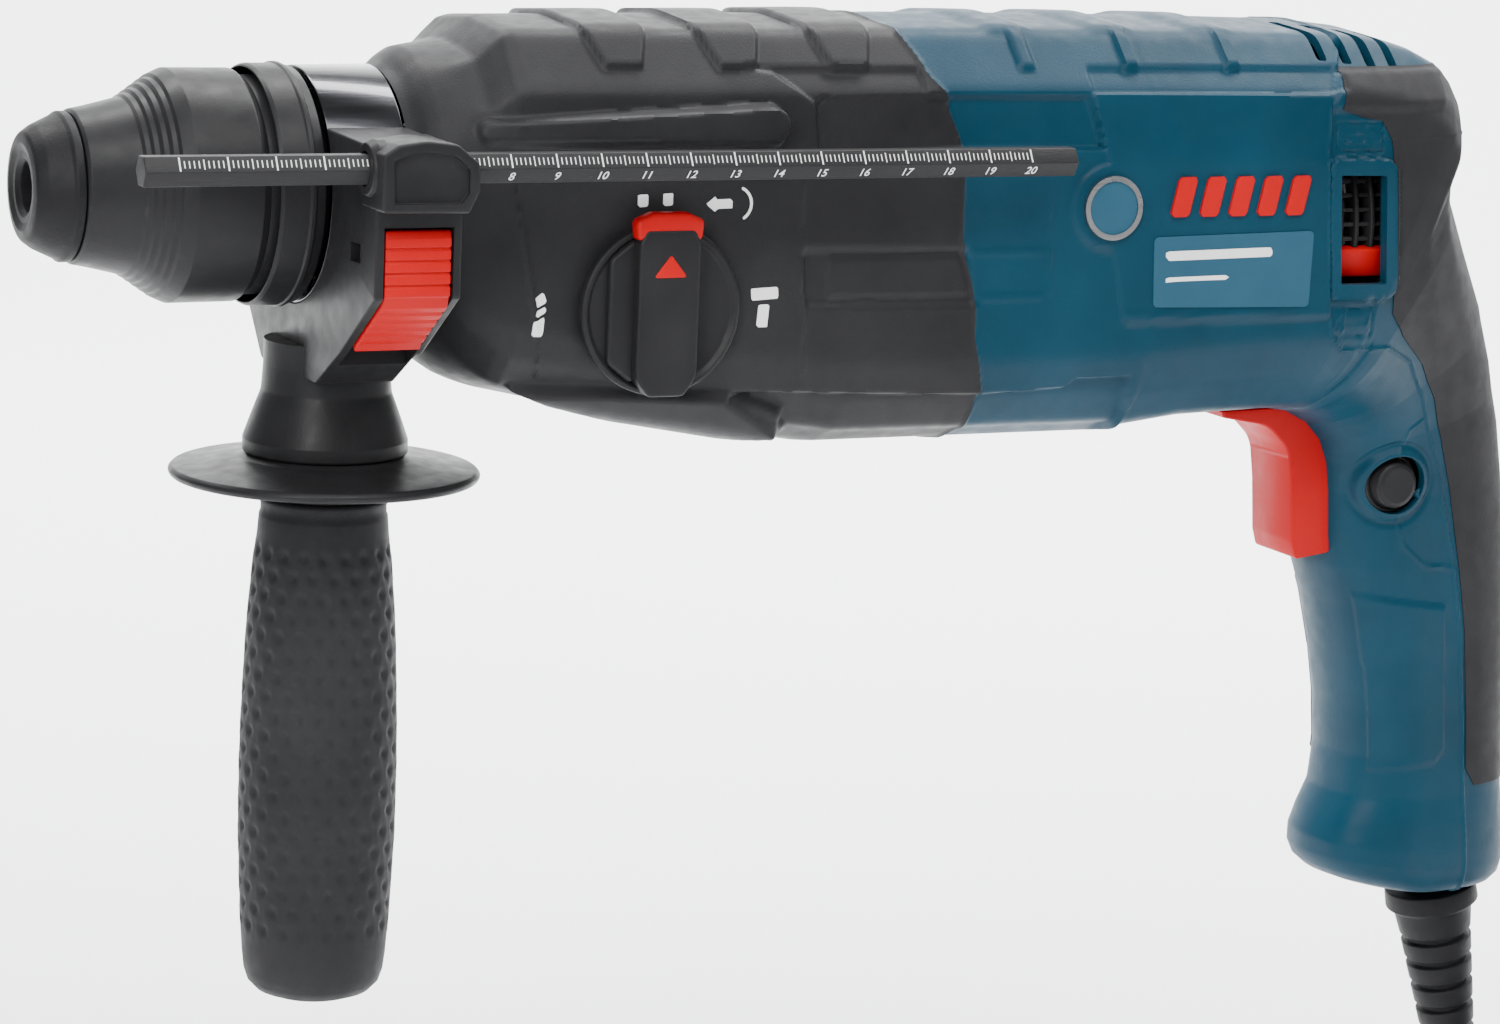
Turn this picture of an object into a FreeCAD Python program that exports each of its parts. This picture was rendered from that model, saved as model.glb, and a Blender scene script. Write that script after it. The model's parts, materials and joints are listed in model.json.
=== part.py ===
import FreeCAD, Part
import math
import os
import Sketcher

# Rotary hammer with side handle, depth rod and mains cord.
# Working frame: X along the tool spindle from the nose (0) to the rear, Z up, -Y is the side
# with the mode knob.  Every sub-part is then placed so that the origin is the middle of the
# main handle's grip.

Vec = FreeCAD.Vector
doc = FreeCAD.newDocument("rotary_hammer")

# ---------------------------------------------------------------- driving dimensions (mm, degrees)
DIMENSIONS = {
    "grip_mid_x": 343, "grip_mid_z": -108,
    # chuck and spindle
    "tool_bore": 5.05, "cap_hole": 5.8, "cap_len": 8, "cap_rad": 15.4, "sleeve_rad": 24.35,
    "sleeve_end": 45.6, "sleeve_travel": 4.5, "ring_front": 47.4, "ring_back": 57, "ring_rad": 25.1,
    "spindle_front": 13, "holder_rad": 8.5, "journal_rad": 12, "tube_rad": 12.5, "tube_end": 155,
    "hammer_bore": 9, "beat_bore": 6.5, "ball_x": 36, "ball_rad": 3.5,
    # neck and front bearing
    "neck_front": 57.8, "neck_back": 75.5, "neck_rad": 23.2, "bearing_seat": 20,
    # drive train
    "lay_drop": -30, "motor_drop": -10, "spindle_gear_x": 122, "lay_front": 104, "lay_back": 204,
    "lay_rad": 5, "wobble_x": 172, "wobble_ball": 11, "drive_gear_x": 188, "finger_rad": 2.5,
    "piston_front": 134, "piston_back": 178, "piston_rad": 8.95, "striker_front": 103.6,
    "striker_back": 125.6, "pin_rad": 4, "clutch_x": 138, "clutch_len": 9,
    # motor
    "shaft_rad": 4, "pinion_x": 189, "shaft_end": 320, "core_x": 228, "core_len": 40, "core_rad": 22,
    "stator_rad": 35, "fan_x": 209, "fan_rad": 29, "commutator_x": 290, "commutator_len": 15,
    "commutator_rad": 12, "ring_x": 292, "ring_len": 22, "ring_out": 33, "ring_in": 29.6,
    # housings
    "gear_case_front": 75.5, "seam_x": 203, "cover_x": 297, "wall": 2.6, "front_flange_x": 148,
    "flange_len": 7, "rear_flange_x": 199.5, "handle_half": 18,
    # mode knob
    "knob_x": 127.8, "knob_z": -23.1, "knob_rad": 18.2, "knob_face": -35.5, "knob_bar": -40.5,
    "knob_throw": 3,
    # trigger and lock-on button
    "trigger_half": 10.5, "trigger_travel": 5.5, "lock_x": 327, "lock_z": -72, "lock_rad": 5.8,
    # side handle and depth rod
    "handle_x": 67, "band_front": 58.6, "band_back": 74.6, "band_in": 23.5, "band_out": 25.1,
    "guard_z": -59, "guard_rad": 33.3, "grip_top": -66, "grip_end": -176, "rod_y": -46.5,
    "rod_z": 8.6, "rod_front": 10.5, "rod_back": 219, "rod_flat": 6, "yoke_back": 77,
    # cord
    "cord_rad": 3.75, "floor_z": -285, "boot_x": 357.5, "boot_z": -173, "boot_lean": 12.5,
    "boot_len": 58, "coil_x": 430, "coil_y": -55, "coil_in": 27.5, "coil_out": 61.8,
    "coil_high": 30.5,
}

sheet = doc.addObject("Spreadsheet::Sheet", "dims")
for row, (alias, value) in enumerate(DIMENSIONS.items(), start=1):
    sheet.set(f"A{row}", alias)
    sheet.set(f"B{row}", str(value))
    sheet.setAlias(f"B{row}", alias)
doc.recompute()


class Sized:
    """Reads a driving dimension from the sheet by its alias."""

    def __getattr__(self, alias):
        return float(sheet.get(alias))


size = Sized()
parts = []


def bind(obj, prop, rule):
    """A rule is a number or an expression over the sheet, such as 'dims.wall * 2'."""
    if isinstance(rule, str):
        obj.setExpression(prop, rule)
    else:
        obj.setExpression(prop, repr(float(rule)))


def publish(obj, label, at=(0, 0, 0)):
    """Names a finished sub-part and moves it into the tool's own frame."""
    obj.Label = label
    for axis, start, shift in zip("xyz", at, ("dims.grip_mid_x", "0", "dims.grip_mid_z")):
        obj.setExpression(f".Placement.Base.{axis}", f"({start}) - {shift}")
    parts.append(obj)
    return obj


def value_of(rule):
    """The number that a rule gives now, used as a sketch's first guess."""
    if not isinstance(rule, str):
        return float(rule)
    tree = rule
    for alias in sorted(DIMENSIONS, key=len, reverse=True):
        tree = tree.replace(f"dims.{alias}", repr(float(DIMENSIONS[alias])))
    return FreeCAD.Units.Quantity(tree).Value


def draw(sketch, points):
    """Closed outline through bound points; each point is a pair of rules."""
    spots = [Vec(value_of(u), value_of(v), 0) for u, v in points]
    count = len(spots)
    for i in range(count):
        sketch.addGeometry(Part.LineSegment(spots[i], spots[(i + 1) % count]), False)
    for i in range(count):
        sketch.addConstraint(Sketcher.Constraint("Coincident", i, 2, (i + 1) % count, 1))
    for i, (u, v) in enumerate(points):
        for kind, rule, start in (("DistanceX", u, spots[i].x), ("DistanceY", v, spots[i].y)):
            index = sketch.addConstraint(Sketcher.Constraint(kind, -1, 1, i, 1, start))
            bind(sketch, f"Constraints[{index}]", rule)


def sketch_in(body, points, plane, offset=0):
    sketch = body.newObject("Sketcher::SketchObject", body.Name + "_outline")
    face = [f for f in body.Origin.OriginFeatures if f.Role == plane][0]
    sketch.AttachmentSupport = [(face, "")]
    sketch.MapMode = "FlatFace"
    bind(sketch, ".AttachmentOffset.Base.z", offset)
    draw(sketch, points)
    return sketch


def turned_raw(name, points, plane="XZ_Plane", about="H_Axis"):
    body = doc.addObject("PartDesign::Body", name)
    sketch = sketch_in(body, points, plane)
    turn = body.newObject("PartDesign::Revolution", name + "_turn")
    turn.Profile = sketch
    turn.ReferenceAxis = (sketch, [about])
    turn.Angle = 360
    return body


def turned(label, points, at=(0, 0, 0), plane="XZ_Plane", about="H_Axis"):
    """A turned body; points are (along the axis, radius), or (radius, along) about V_Axis."""
    return publish(turned_raw(label, points, plane, about), label, at)


def tube(label, front, back, inner, outer, at=(0, 0, 0)):
    return turned(label, [(front, inner), (back, inner), (back, outer), (front, outer)], at)


def plate(label, points, half, plane="XZ_Plane"):
    """An outline padded evenly to both sides of its plane (a raw body, not yet a sub-part)."""
    body = doc.addObject("PartDesign::Body", label)
    sketch = sketch_in(body, points, plane)
    pad = body.newObject("PartDesign::Pad", label + "_pad")
    pad.Profile = sketch
    pad.Midplane = True
    bind(pad, "Length", f"2 * ({half})")
    return body


def cylinder(name, radius, length, at, axis="Z"):
    obj = doc.addObject("Part::Cylinder", name)
    bind(obj, "Radius", radius)
    bind(obj, "Height", length)
    turns = {"Z": ((0, 0, 1), 0), "X": ((0, 1, 0), 90), "Y": ((1, 0, 0), -90)}
    obj.Placement.Rotation = FreeCAD.Rotation(Vec(*turns[axis][0]), turns[axis][1])
    for letter, rule in zip("xyz", at):
        bind(obj, f".Placement.Base.{letter}", rule)
    return obj


def box(name, lengths, at):
    obj = doc.addObject("Part::Box", name)
    for prop, rule in zip(("Length", "Width", "Height"), lengths):
        bind(obj, prop, rule)
    for letter, rule in zip("xyz", at):
        bind(obj, f".Placement.Base.{letter}", rule)
    return obj


def ball(name, radius, at):
    obj = doc.addObject("Part::Sphere", name)
    bind(obj, "Radius", radius)
    for letter, rule in zip("xyz", at):
        bind(obj, f".Placement.Base.{letter}", rule)
    return obj


def fuse(name, shapes):
    obj = doc.addObject("Part::MultiFuse", name)
    obj.Shapes = shapes
    return obj


def cut(name, base, tools):
    obj = doc.addObject("Part::Cut", name)
    obj.Base = base
    obj.Tool = tools[0] if len(tools) == 1 else fuse(name + "_tools", tools)
    return obj


def common(name, base, tool):
    obj = doc.addObject("Part::Common", name)
    obj.Base = base
    obj.Tool = tool
    return obj


def solid(name, shape):
    obj = doc.addObject("Part::Feature", name)
    spot = shape.Placement.toMatrix()
    plain = shape.copy()
    plain.Placement = FreeCAD.Placement()
    obj.Shape = plain.transformed(spot, True)
    return obj


# ---------------------------------------------------------------- free-form shells
def rounded(plane_at, low, high, half, corner, flat_axis="X"):
    """A rounded rectangle. Across X: low/high are Z and half is Y. Across Z: low/high are X."""
    corner = min(corner, half - 0.5, (high - low) / 2 - 0.5)
    spots = []
    quarters = [(1, 1, 0), (-1, 1, 90), (-1, -1, 180), (1, -1, 270)]
    for side, up, start in quarters:
        mid_a = side * (half - corner)
        mid_b = high - corner if up > 0 else low + corner
        for angle in (start, start + 45, start + 90):
            turn = math.radians(angle)
            spots.append((mid_a + corner * math.cos(turn), mid_b + corner * math.sin(turn)))

    def spot(a, b):
        return Vec(plane_at, a, b) if flat_axis == "X" else Vec(b, a, plane_at)

    edges = []
    for i in range(0, 12, 3):
        a, b, c = (spot(*spots[i + k]) for k in range(3))
        edges.append(Part.Arc(a, b, c).toShape())
        follow = spot(*spots[(i + 3) % 12])
        edges.append(Part.LineSegment(c, follow).toShape())
    return Part.Wire(edges)


def lofted(stations, inset=0, flat_axis="X"):
    """Stations are (place, low, high, half width, corner radius), all drawn in by inset."""
    wires = []
    for place, low, high, half, corner in stations:
        radius = max(corner - inset, 1.5)
        wires.append(rounded(place, low + inset, high - inset, half - inset, radius, flat_axis))
    return Part.makeLoft(wires, True, True)


GEAR_CASE = [
    (75.5, -25.5, 25.5, 25.5, 25), (81, -35, 28.8, 29, 24), (97, -43, 35.2, 32.4, 24),
    (121, -49, 36, 33.4, 25), (155, -55.5, 36, 34.7, 26), (203, -58.8, 36.5, 37, 26),
]
MOTOR_CASE = [
    (203, -58.8, 36.5, 37, 26), (245, -58.8, 36.5, 38.4, 26), (262, -55.5, 36.2, 38.4, 26),
    (297, -55, 35.6, 38, 26), (313, -52, 34.5, 37, 24), (328, -42, 29.6, 30, 19),
    (336, -28, 20, 21, 14),
]
HANDLE = [
    (11, 300, 333.4, 17, 12), (0, 300, 335.3, 20, 13), (-12, 300, 342, 24, 15), (-22, 300, 347.7, 26, 15),
    (-35, 299, 353.8, 23.5, 14.5), (-50, 298, 359, 21, 14), (-62, 309, 363, 18.5, 13),
    (-88, 311.5, 368, 18, 13), (-104, 318, 370, 17.5, 13), (-130, 323.5, 371, 17, 13),
    (-152, 325, 372.5, 17.5, 13), (-161, 319, 374.5, 18.5, 12), (-169, 319.5, 375, 18.5, 9),
    (-174, 326, 370, 15, 8),
]


def casing_shapes():
    """The outer and inner solids of the gear case and of the motor case with its handle."""
    wall = size.wall
    gear_out = lofted(GEAR_CASE)
    end = (size.seam_x + 1,) + GEAR_CASE[-1][1:]
    gear_in = lofted([(81.5, -31, 25, 25, 20)] + GEAR_CASE[2:-1] + [end], wall)
    motor_out = lofted(MOTOR_CASE).fuse(lofted(HANDLE, 0, "Z"))
    motor_in = lofted([(202,) + MOTOR_CASE[0][1:]] + MOTOR_CASE[1:-1] + [(333, -28, 20, 21, 14)], wall)
    handle_in = lofted([(8,) + HANDLE[0][1:]] + HANDLE[1:-2] + [(-168, 324, 371, 16, 8)], wall, "Z")
    return gear_out, gear_in, motor_out.removeSplitter(), motor_in.fuse(handle_in)


def prism(points, half):
    """A solid of an X-Z outline, the same to both sides."""
    face = Part.Face(Part.makePolygon([Vec(x, -half, z) for x, z in points + points[:1]]))
    return face.extrude(Vec(0, 2 * half, 0))


gear_outer, gear_inner, motor_outer, motor_inner = casing_shapes()
# everything behind this line belongs to the rear cover
REAR_REGION = [
    (297, 60), (297, -34), (318, -48), (339, -61), (346, -82), (351, -126), (354.5, -166),
    (355, -190), (400, -190), (400, 60),
]
# the black soft grip is the outer skin of the cover's back
GRIP_REGION = [
    (330, 12), (341, -20), (352, -52), (357.5, -82), (361, -112), (363, -138), (366, -146),
    (390, -146), (390, 12),
]


def gear_case():
    """Black gear case: shell, neck for the side handle, bearing seats and screw bosses."""
    hollow = cut("gear_shell", solid("gear_outer", gear_outer), [solid("gear_inner", gear_inner)])
    neck = cylinder("neck", "dims.neck_rad", "dims.neck_back - dims.neck_front + 8",
                    ("dims.neck_front", 0, 0), "X")
    web = common("lay_web", box("web_block", (6, 60, 26), ("dims.lay_front", -30, -47)),
                 solid("web_limit", gear_outer))
    bosses = [cylinder(f"gear_boss_{k}", 4.6, 27, ("dims.seam_x - 27", y, z), "X")
              for k, (y, z) in enumerate(SCREW_SPOTS)]
    body = fuse("gear_case_body", [hollow, neck, web] + bosses)
    bores = [
        cylinder("front_seat", "dims.bearing_seat", 30, ("dims.neck_front - 1", 0, 0), "X"),
        cylinder("lay_seat", 9.5, 8, ("dims.lay_front - 0.001", 0, "dims.lay_drop"), "X"),
        cylinder("knob_hole", 8.3, 20, ("dims.knob_x", -42, "dims.knob_z"), "Y"),
    ]
    for k, (y, z) in enumerate(SCREW_SPOTS):
        bores.append(cylinder(f"gear_screw_hole_{k}", 2, 30, ("dims.seam_x - 24", y, z), "X"))
        bores.append(cylinder(f"gear_head_hole_{k}", 3.8, 8, ("dims.seam_x - 30", y, z), "X"))
    publish(cut("gearbox_housing", body, bores), "gearbox_housing")


SCREW_SPOTS = [(24.8, 23.8), (-24.8, 23.8), (24.6, -46.4), (-24.6, -46.4)]


def motor_case():
    """Blue motor case with the front half of the handle."""
    shell = solid("motor_shell", motor_outer.cut(motor_inner).cut(prism(REAR_REGION, 60)))
    bosses = [cylinder(f"motor_boss_{k}", 4.4, 16, ("dims.seam_x", y, z), "X")
              for k, (y, z) in enumerate(SCREW_SPOTS)]
    bosses += [cylinder(f"cover_boss_{k}", 4.6, 15, ("dims.cover_x - 15.02", y, z), "X")
               for k, (y, z) in enumerate(COVER_SCREWS)]
    bosses.append(cylinder("foot_boss", 4, 29, (322, 0, FOOT_SCREW_Z), "X"))
    body = fuse("motor_case_body", [shell] + bosses)
    holes = [cylinder(f"motor_screw_hole_{k}", 2, 13, ("dims.seam_x - 1", y, z), "X")
             for k, (y, z) in enumerate(SCREW_SPOTS)]
    holes += [cylinder(f"cover_boss_hole_{k}", 1.6, 12, ("dims.cover_x - 11", y, z), "X")
              for k, (y, z) in enumerate(COVER_SCREWS)]
    holes.append(cylinder("foot_screw_hole", 1.6, 14, (340, 0, FOOT_SCREW_Z), "X"))
    holes.append(boot_passage("front_boot_hole"))
    holes.append(box("trigger_slot", (26, "2 * (dims.trigger_half + 0.5)", 34.9),
                     (296, "-dims.trigger_half - 0.5", -90.5)))
    holes.append(cylinder("lock_hole", "dims.lock_rad + 0.4", 14,
                          ("dims.lock_x", -26, "dims.lock_z"), "Y"))
    publish(cut("motor_housing", body, holes), "motor_housing")


def rear_cover():
    """Blue rear cover: back of the motor case and of the handle, with the ring's windows."""
    grip_zone = prism(GRIP_REGION, 60)
    shell = motor_outer.cut(motor_inner).common(prism(REAR_REGION, 60))
    skin = motor_outer.cut(lofted(HANDLE, 1.7, "Z")).cut(lofted(MOTOR_CASE, 1.7)).common(grip_zone)
    skin = max(skin.Solids, key=lambda piece: piece.Volume)
    bosses = [cylinder(f"rear_boss_{k}", 4.6, 14, ("dims.cover_x + 0.2", y, z), "X")
              for k, (y, z) in enumerate(COVER_SCREWS)]
    bosses.append(cylinder("rear_foot_boss", 4.2, 18, (355.2, 0, FOOT_SCREW_Z), "X"))
    cover = fuse("cover_body", [solid("cover_shell", shell.cut(skin))] + bosses)
    windows = [box(f"ring_window_{k}", (19, 14, 26.5), (295.5, y, -23)) for k, y in enumerate((-42, 28))]
    vents = [box(f"vent_{k}", (2.4, 44, 12), (300 + 6 * k, -22, 27)) for k in range(5)]
    seats = [cylinder(f"cover_screw_hole_{k}", 3.6, 20, (COVER_HEAD_X, y, z), "X")
             for k, (y, z) in enumerate(COVER_SCREWS)]
    seats.append(cylinder("foot_head_hole", 3.6, 20, (FOOT_HEAD_X, 0, FOOT_SCREW_Z), "X"))
    shanks = [cylinder(f"cover_shank_hole_{k}", 2, 14, (COVER_HEAD_X - 13, y, z), "X")
              for k, (y, z) in enumerate(COVER_SCREWS)]
    shanks.append(cylinder("foot_shank_hole", 2, 13, (FOOT_HEAD_X - 12, 0, FOOT_SCREW_Z), "X"))
    cuts = windows + vents + seats + shanks + [boot_passage("rear_boot_hole")]
    publish(cut("rear_cover", cover, cuts), "rear_cover")
    publish(solid("rear_soft_grip", skin), "rear_soft_grip")


COVER_SCREWS = [(25.6, 23.2), (-25.6, 23.2)]
COVER_HEAD_X, FOOT_HEAD_X, FOOT_SCREW_Z = 309, 366, -164.5


def boot_passage(name):
    """The leaning hole that the cord boot's neck sits in."""
    top, down = boot_line()
    return solid(name, Part.makeCylinder(7.2, 30, top - down * 6, down))


def boot_line():
    """The top of the cord boot and the direction in which it points."""
    lean = math.radians(size.boot_lean)
    return Vec(size.boot_x, 0, size.boot_z), Vec(math.sin(lean), 0, -math.cos(lean))


def screws():
    """All the case screws, as one group: four between the cases and three for the rear cover."""
    group = []
    for y, z in SCREW_SPOTS:
        group.append(screw_shape(size.seam_x - 24, y, z, 3.5, 1.95, 34))
    for y, z in COVER_SCREWS:
        group.append(screw_shape(COVER_HEAD_X, y, z, 3.3, 1.55, -21))
    group.append(screw_shape(FOOT_HEAD_X, 0, FOOT_SCREW_Z, 3.3, 1.55, -24))
    publish(solid("case_screws", Part.makeCompound(group)), "case_screws")


def screw_shape(under_head, y, z, head, shank, length):
    """A pan-head screw along X; a negative length points its tip to the front."""
    way = 1 if length > 0 else -1
    shaft = Part.makeCylinder(shank, abs(length), Vec(under_head, y, z), Vec(way, 0, 0))
    cap = Part.makeCylinder(head, 2.6, Vec(under_head, y, z), Vec(-way, 0, 0))
    cross = Part.makeBox(1.6, 4.2, 1, Vec(under_head - way * 2.6 - 0.8, y - 2.1, z - 0.5))
    upright = Part.makeBox(1.6, 1, 4.2, Vec(under_head - way * 2.6 - 0.8, y - 0.5, z - 2.1))
    return shaft.fuse(cap).cut(cross).cut(upright)


# inner plates stand this far clear of the casing walls
PLATE_GAP = 1.2


def plate_blank(name, stations, front, back):
    """A slice across a casing's hollow, a little clear of its walls."""
    hollow = lofted(stations, size.wall + PLATE_GAP)
    block = Part.makeBox(back - front, 90, 100, Vec(front, -45, -60))
    return solid(name, hollow.common(block))


def flanges():
    """Inner plates that carry the shafts: one inside the gear case, one at the motor seam."""
    front_x, rear_x, length = size.front_flange_x, size.rear_flange_x, size.flange_len
    web = plate_blank("hammer_flange_blank", GEAR_CASE[3:], front_x, front_x + length)
    holes = [
        cylinder("tube_seat", 16, 9, ("dims.front_flange_x - 1", 0, 0), "X"),
        cylinder("lay_pass", 10, 9, ("dims.front_flange_x - 1", 0, "dims.lay_drop"), "X"),
    ]
    # room behind the finger pockets in the case's flanks and at its lower edges
    for k, y in enumerate((-46, 26)):
        holes.append(box(f"pocket_room_{k}", (9, 20, 14), ("dims.front_flange_x - 1", y, 8)))
        holes.append(box(f"edge_room_{k}", (9, 20, 20), ("dims.front_flange_x - 1", y, -58)))
    publish(cut("hammer_flange", web, holes), "hammer_flange")
    stations = GEAR_CASE[-2:] + MOTOR_CASE[1:2]
    plate_solid = plate_blank("motor_flange_blank", stations, rear_x, rear_x + length)
    holes = [
        cylinder("armature_seat", 11, 9, ("dims.rear_flange_x - 1", 0, "dims.motor_drop"), "X"),
        cylinder("lay_rear_seat", 8, 5.5, ("dims.rear_flange_x - 1", 0, "dims.lay_drop"), "X"),
    ]
    for k, (y, z) in enumerate(SCREW_SPOTS):
        holes.append(cylinder(f"boss_room_{k}", 4.8, 9, ("dims.rear_flange_x - 1", y, z), "X"))
    publish(cut("motor_flange", plate_solid, holes), "motor_flange")


# ---------------------------------------------------------------- gears and springs
def gear_shape(teeth, module, bore, width, phase=0.0):
    """Spur gear about X from x = 0, straight-flanked teeth with generous backlash."""
    pitch = module * teeth / 2
    tip, root = pitch + 0.85 * module, pitch - 1.15 * module
    step = 2 * math.pi / teeth
    spots = []
    for k in range(teeth):
        mid = phase + k * step
        for radius, share in ((root, -0.30), (tip, -0.11), (tip, 0.11), (root, 0.30)):
            turn = mid + share * step
            spots.append(Vec(0, radius * math.sin(turn), radius * math.cos(turn)))
    face = Part.Face(Part.makePolygon(spots + spots[:1]))
    gear = face.extrude(Vec(width, 0, 0))
    if bore:
        gear = gear.cut(Part.makeCylinder(bore, width, Vec(0, 0, 0), Vec(1, 0, 0)))
    return gear


def spring_shape(radius, wire, length, turns):
    """Helical spring about Z from z = 0, wound so that its wire keeps inside the length."""
    rise = length - 2 * wire
    helix = Part.makeHelix(rise / turns, rise, radius)
    ring = Part.Wire(Part.makeCircle(wire, Vec(radius, 0, 0), Vec(0, 1, 0)).Edges)
    coil = Part.Wire(helix).makePipeShell([ring], True, True)
    coil.translate(Vec(0, 0, wire))
    return coil


def aimed(shape, at, axis):
    """Turns a shape built about Z onto another axis and moves it into place."""
    moved = shape.copy()
    moved.Placement = FreeCAD.Placement(Vec(*at), FreeCAD.Rotation(Vec(0, 0, 1), Vec(*axis)))
    return moved


def placed(shape, at):
    moved = shape.copy()
    moved.translate(Vec(*at))
    return moved


# ---------------------------------------------------------------- chuck
def chuck():
    turned("dust_cap", [
        (0, "dims.cap_hole"), (0, 9.2), (1, 11.6), (2.6, 13), (5, 13.9), (6.6, 14.8),
        ("dims.cap_len", "dims.cap_rad"), ("dims.cap_len + 1.2", "dims.cap_rad"),
        ("dims.cap_len + 1.2", 12.5), (14, 12.5),
        (14, 8.7), (12.6, 8.7), (12.6, "dims.cap_hole"),
    ])
    steps = [(21.2, 18.5), (22.6, 19.4), (24.1, 20.6), (25.8, 21.8)]
    outline = [("dims.cap_len + 1.7", 13), ("dims.cap_len + 1.7", 15.9)]
    for x, r in steps:
        outline += [(x, r), (x + 0.2, r + 0.55)]
    outline += [(27.3, 22.9), (30.2, "dims.sleeve_rad"), ("dims.sleeve_end - 1.6", "dims.sleeve_rad"),
                ("dims.sleeve_end", 23.2), ("dims.ring_front + 1.6", 23.2), ("dims.ring_front + 1.6", 21.4),
                (39.8, 21.4), (39.8, 10.9), (33, 10.9), (33, 14), (18, 14), (16, 13)]
    turned("locking_sleeve", outline)
    turned("chuck_rear_ring", [
        ("dims.ring_front", "dims.ring_rad - 0.35"), ("dims.ring_front + 0.8", "dims.ring_rad"),
        (53.4, "dims.ring_rad"), (53.8, "dims.ring_rad + 0.35"), (54.6, "dims.ring_rad + 0.35"),
        (55, "dims.ring_rad"), ("dims.ring_back", "dims.ring_rad - 0.3"), ("dims.ring_back", 9.5),
        (55.2, "dims.holder_rad"), (54, "dims.holder_rad"), (54, 23.4), (54.2, 24.65),
        ("dims.ring_front", 24.65),
    ])
    # the spring that holds the sleeve, with its ball-locking collar, forward
    spring = aimed(spring_shape(15.2, 0.8, 12, 5), (41.2, 0, 0), (1, 0, 0))
    publish(solid("sleeve_spring", spring), "sleeve_spring")


def spindle():
    body = turned_raw("spindle_blank", [
        ("dims.spindle_front", "dims.tool_bore"), ("dims.spindle_front", "dims.holder_rad - 1"),
        ("dims.spindle_front + 1", "dims.holder_rad"), (57.4, "dims.holder_rad"),
        (57.4, "dims.journal_rad - 0.4"), (58, "dims.journal_rad"), (84, "dims.journal_rad"),
        (84, "dims.tube_rad"), ("dims.tube_end", "dims.tube_rad"),
        ("dims.tube_end", "dims.hammer_bore"), (96, "dims.hammer_bore"), (96, "dims.beat_bore"),
        (78, "dims.beat_bore"), (78, "dims.tool_bore"),
    ])
    slots = [box(f"ball_slot_{k}", (12, 7.1, 6), (31, -3.55, z)) for k, z in enumerate((4, -10))]
    keys = [box(f"drive_key_{k}", (26, 2.6, 1.6), (46, -1.3, z)) for k, z in enumerate((3.9, -5.5))]
    relief = cylinder("ball_relief", 6.2, 13, (31, 0, 0), "X")
    holder = cut("slotted_spindle", body, slots + [relief])
    collar = cylinder("clutch_collar", 17, 2.8, ("dims.spindle_gear_x + 22.2", 0, 0), "X")
    collar_bore = cylinder("collar_bore", "dims.tube_rad - 0.5", 2.8,
                           ("dims.spindle_gear_x + 22.2", 0, 0), "X")
    shoulder = cut("clutch_shoulder", collar, [collar_bore])
    publish(fuse("spindle", [holder, shoulder] + keys), "spindle")
    balls = [ball(f"lock_ball_{k}", "dims.ball_rad", ("dims.ball_x", 0, z)) for k, z in enumerate((7, -7))]
    publish(fuse("locking_balls", balls), "locking_balls")


def bearing(label, front, length, inner, outer, drop):
    """Ball bearing: one ring with recessed faces between its inner and outer races."""
    mid_in = f"({inner}) + 0.35 * (({outer}) - ({inner}))"
    mid_out = f"({inner}) + 0.65 * (({outer}) - ({inner}))"
    back = f"({front}) + {length}"
    turned(label, [
        (front, inner), (back, inner), (back, mid_in), (f"({back}) - 0.7", mid_in),
        (f"({back}) - 0.7", mid_out), (back, mid_out), (back, outer), (front, outer),
        (front, mid_out), (f"({front}) + 0.7", mid_out), (f"({front}) + 0.7", mid_in), (front, mid_in),
    ], (0, 0, drop))


ARMATURE_REAR_X = 316.5


def race_shape(front, length, inner, outer, drop):
    """Ball bearing along X with recessed faces between its inner and outer races."""
    ring = tube_shape(front, front + length, inner, outer, drop)
    span = outer - inner
    for start in (front, front + length - 0.7):
        ring = ring.cut(tube_shape(start, start + 0.7, inner + 0.35 * span, inner + 0.65 * span, drop))
    return ring


def bearings():
    tube("shaft_seal", "dims.neck_front + 0.6", 61.6, "dims.journal_rad + 0.3", "dims.bearing_seat")
    bearing("spindle_front_bearing", "63", 11, "dims.journal_rad + 0.05", "dims.bearing_seat", "0")
    tube("spindle_rear_bearing", "dims.front_flange_x", "dims.tube_end", "dims.tube_rad + 0.05", 16)
    pair = [race_shape(size.lay_front, 6, size.lay_rad + 0.05, 9.5, size.lay_drop),
            race_shape(size.rear_flange_x, 4.4, size.lay_rad + 0.05, 8, size.lay_drop)]
    publish(solid("layshaft_bearings", Part.makeCompound(pair)), "layshaft_bearings")
    pair = [race_shape(size.rear_flange_x, 7, size.shaft_rad + 0.05, 11, size.motor_drop),
            race_shape(ARMATURE_REAR_X, 7, size.shaft_rad + 0.05, 9.5, size.motor_drop)]
    publish(solid("armature_bearings", Part.makeCompound(pair)), "armature_bearings")


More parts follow.
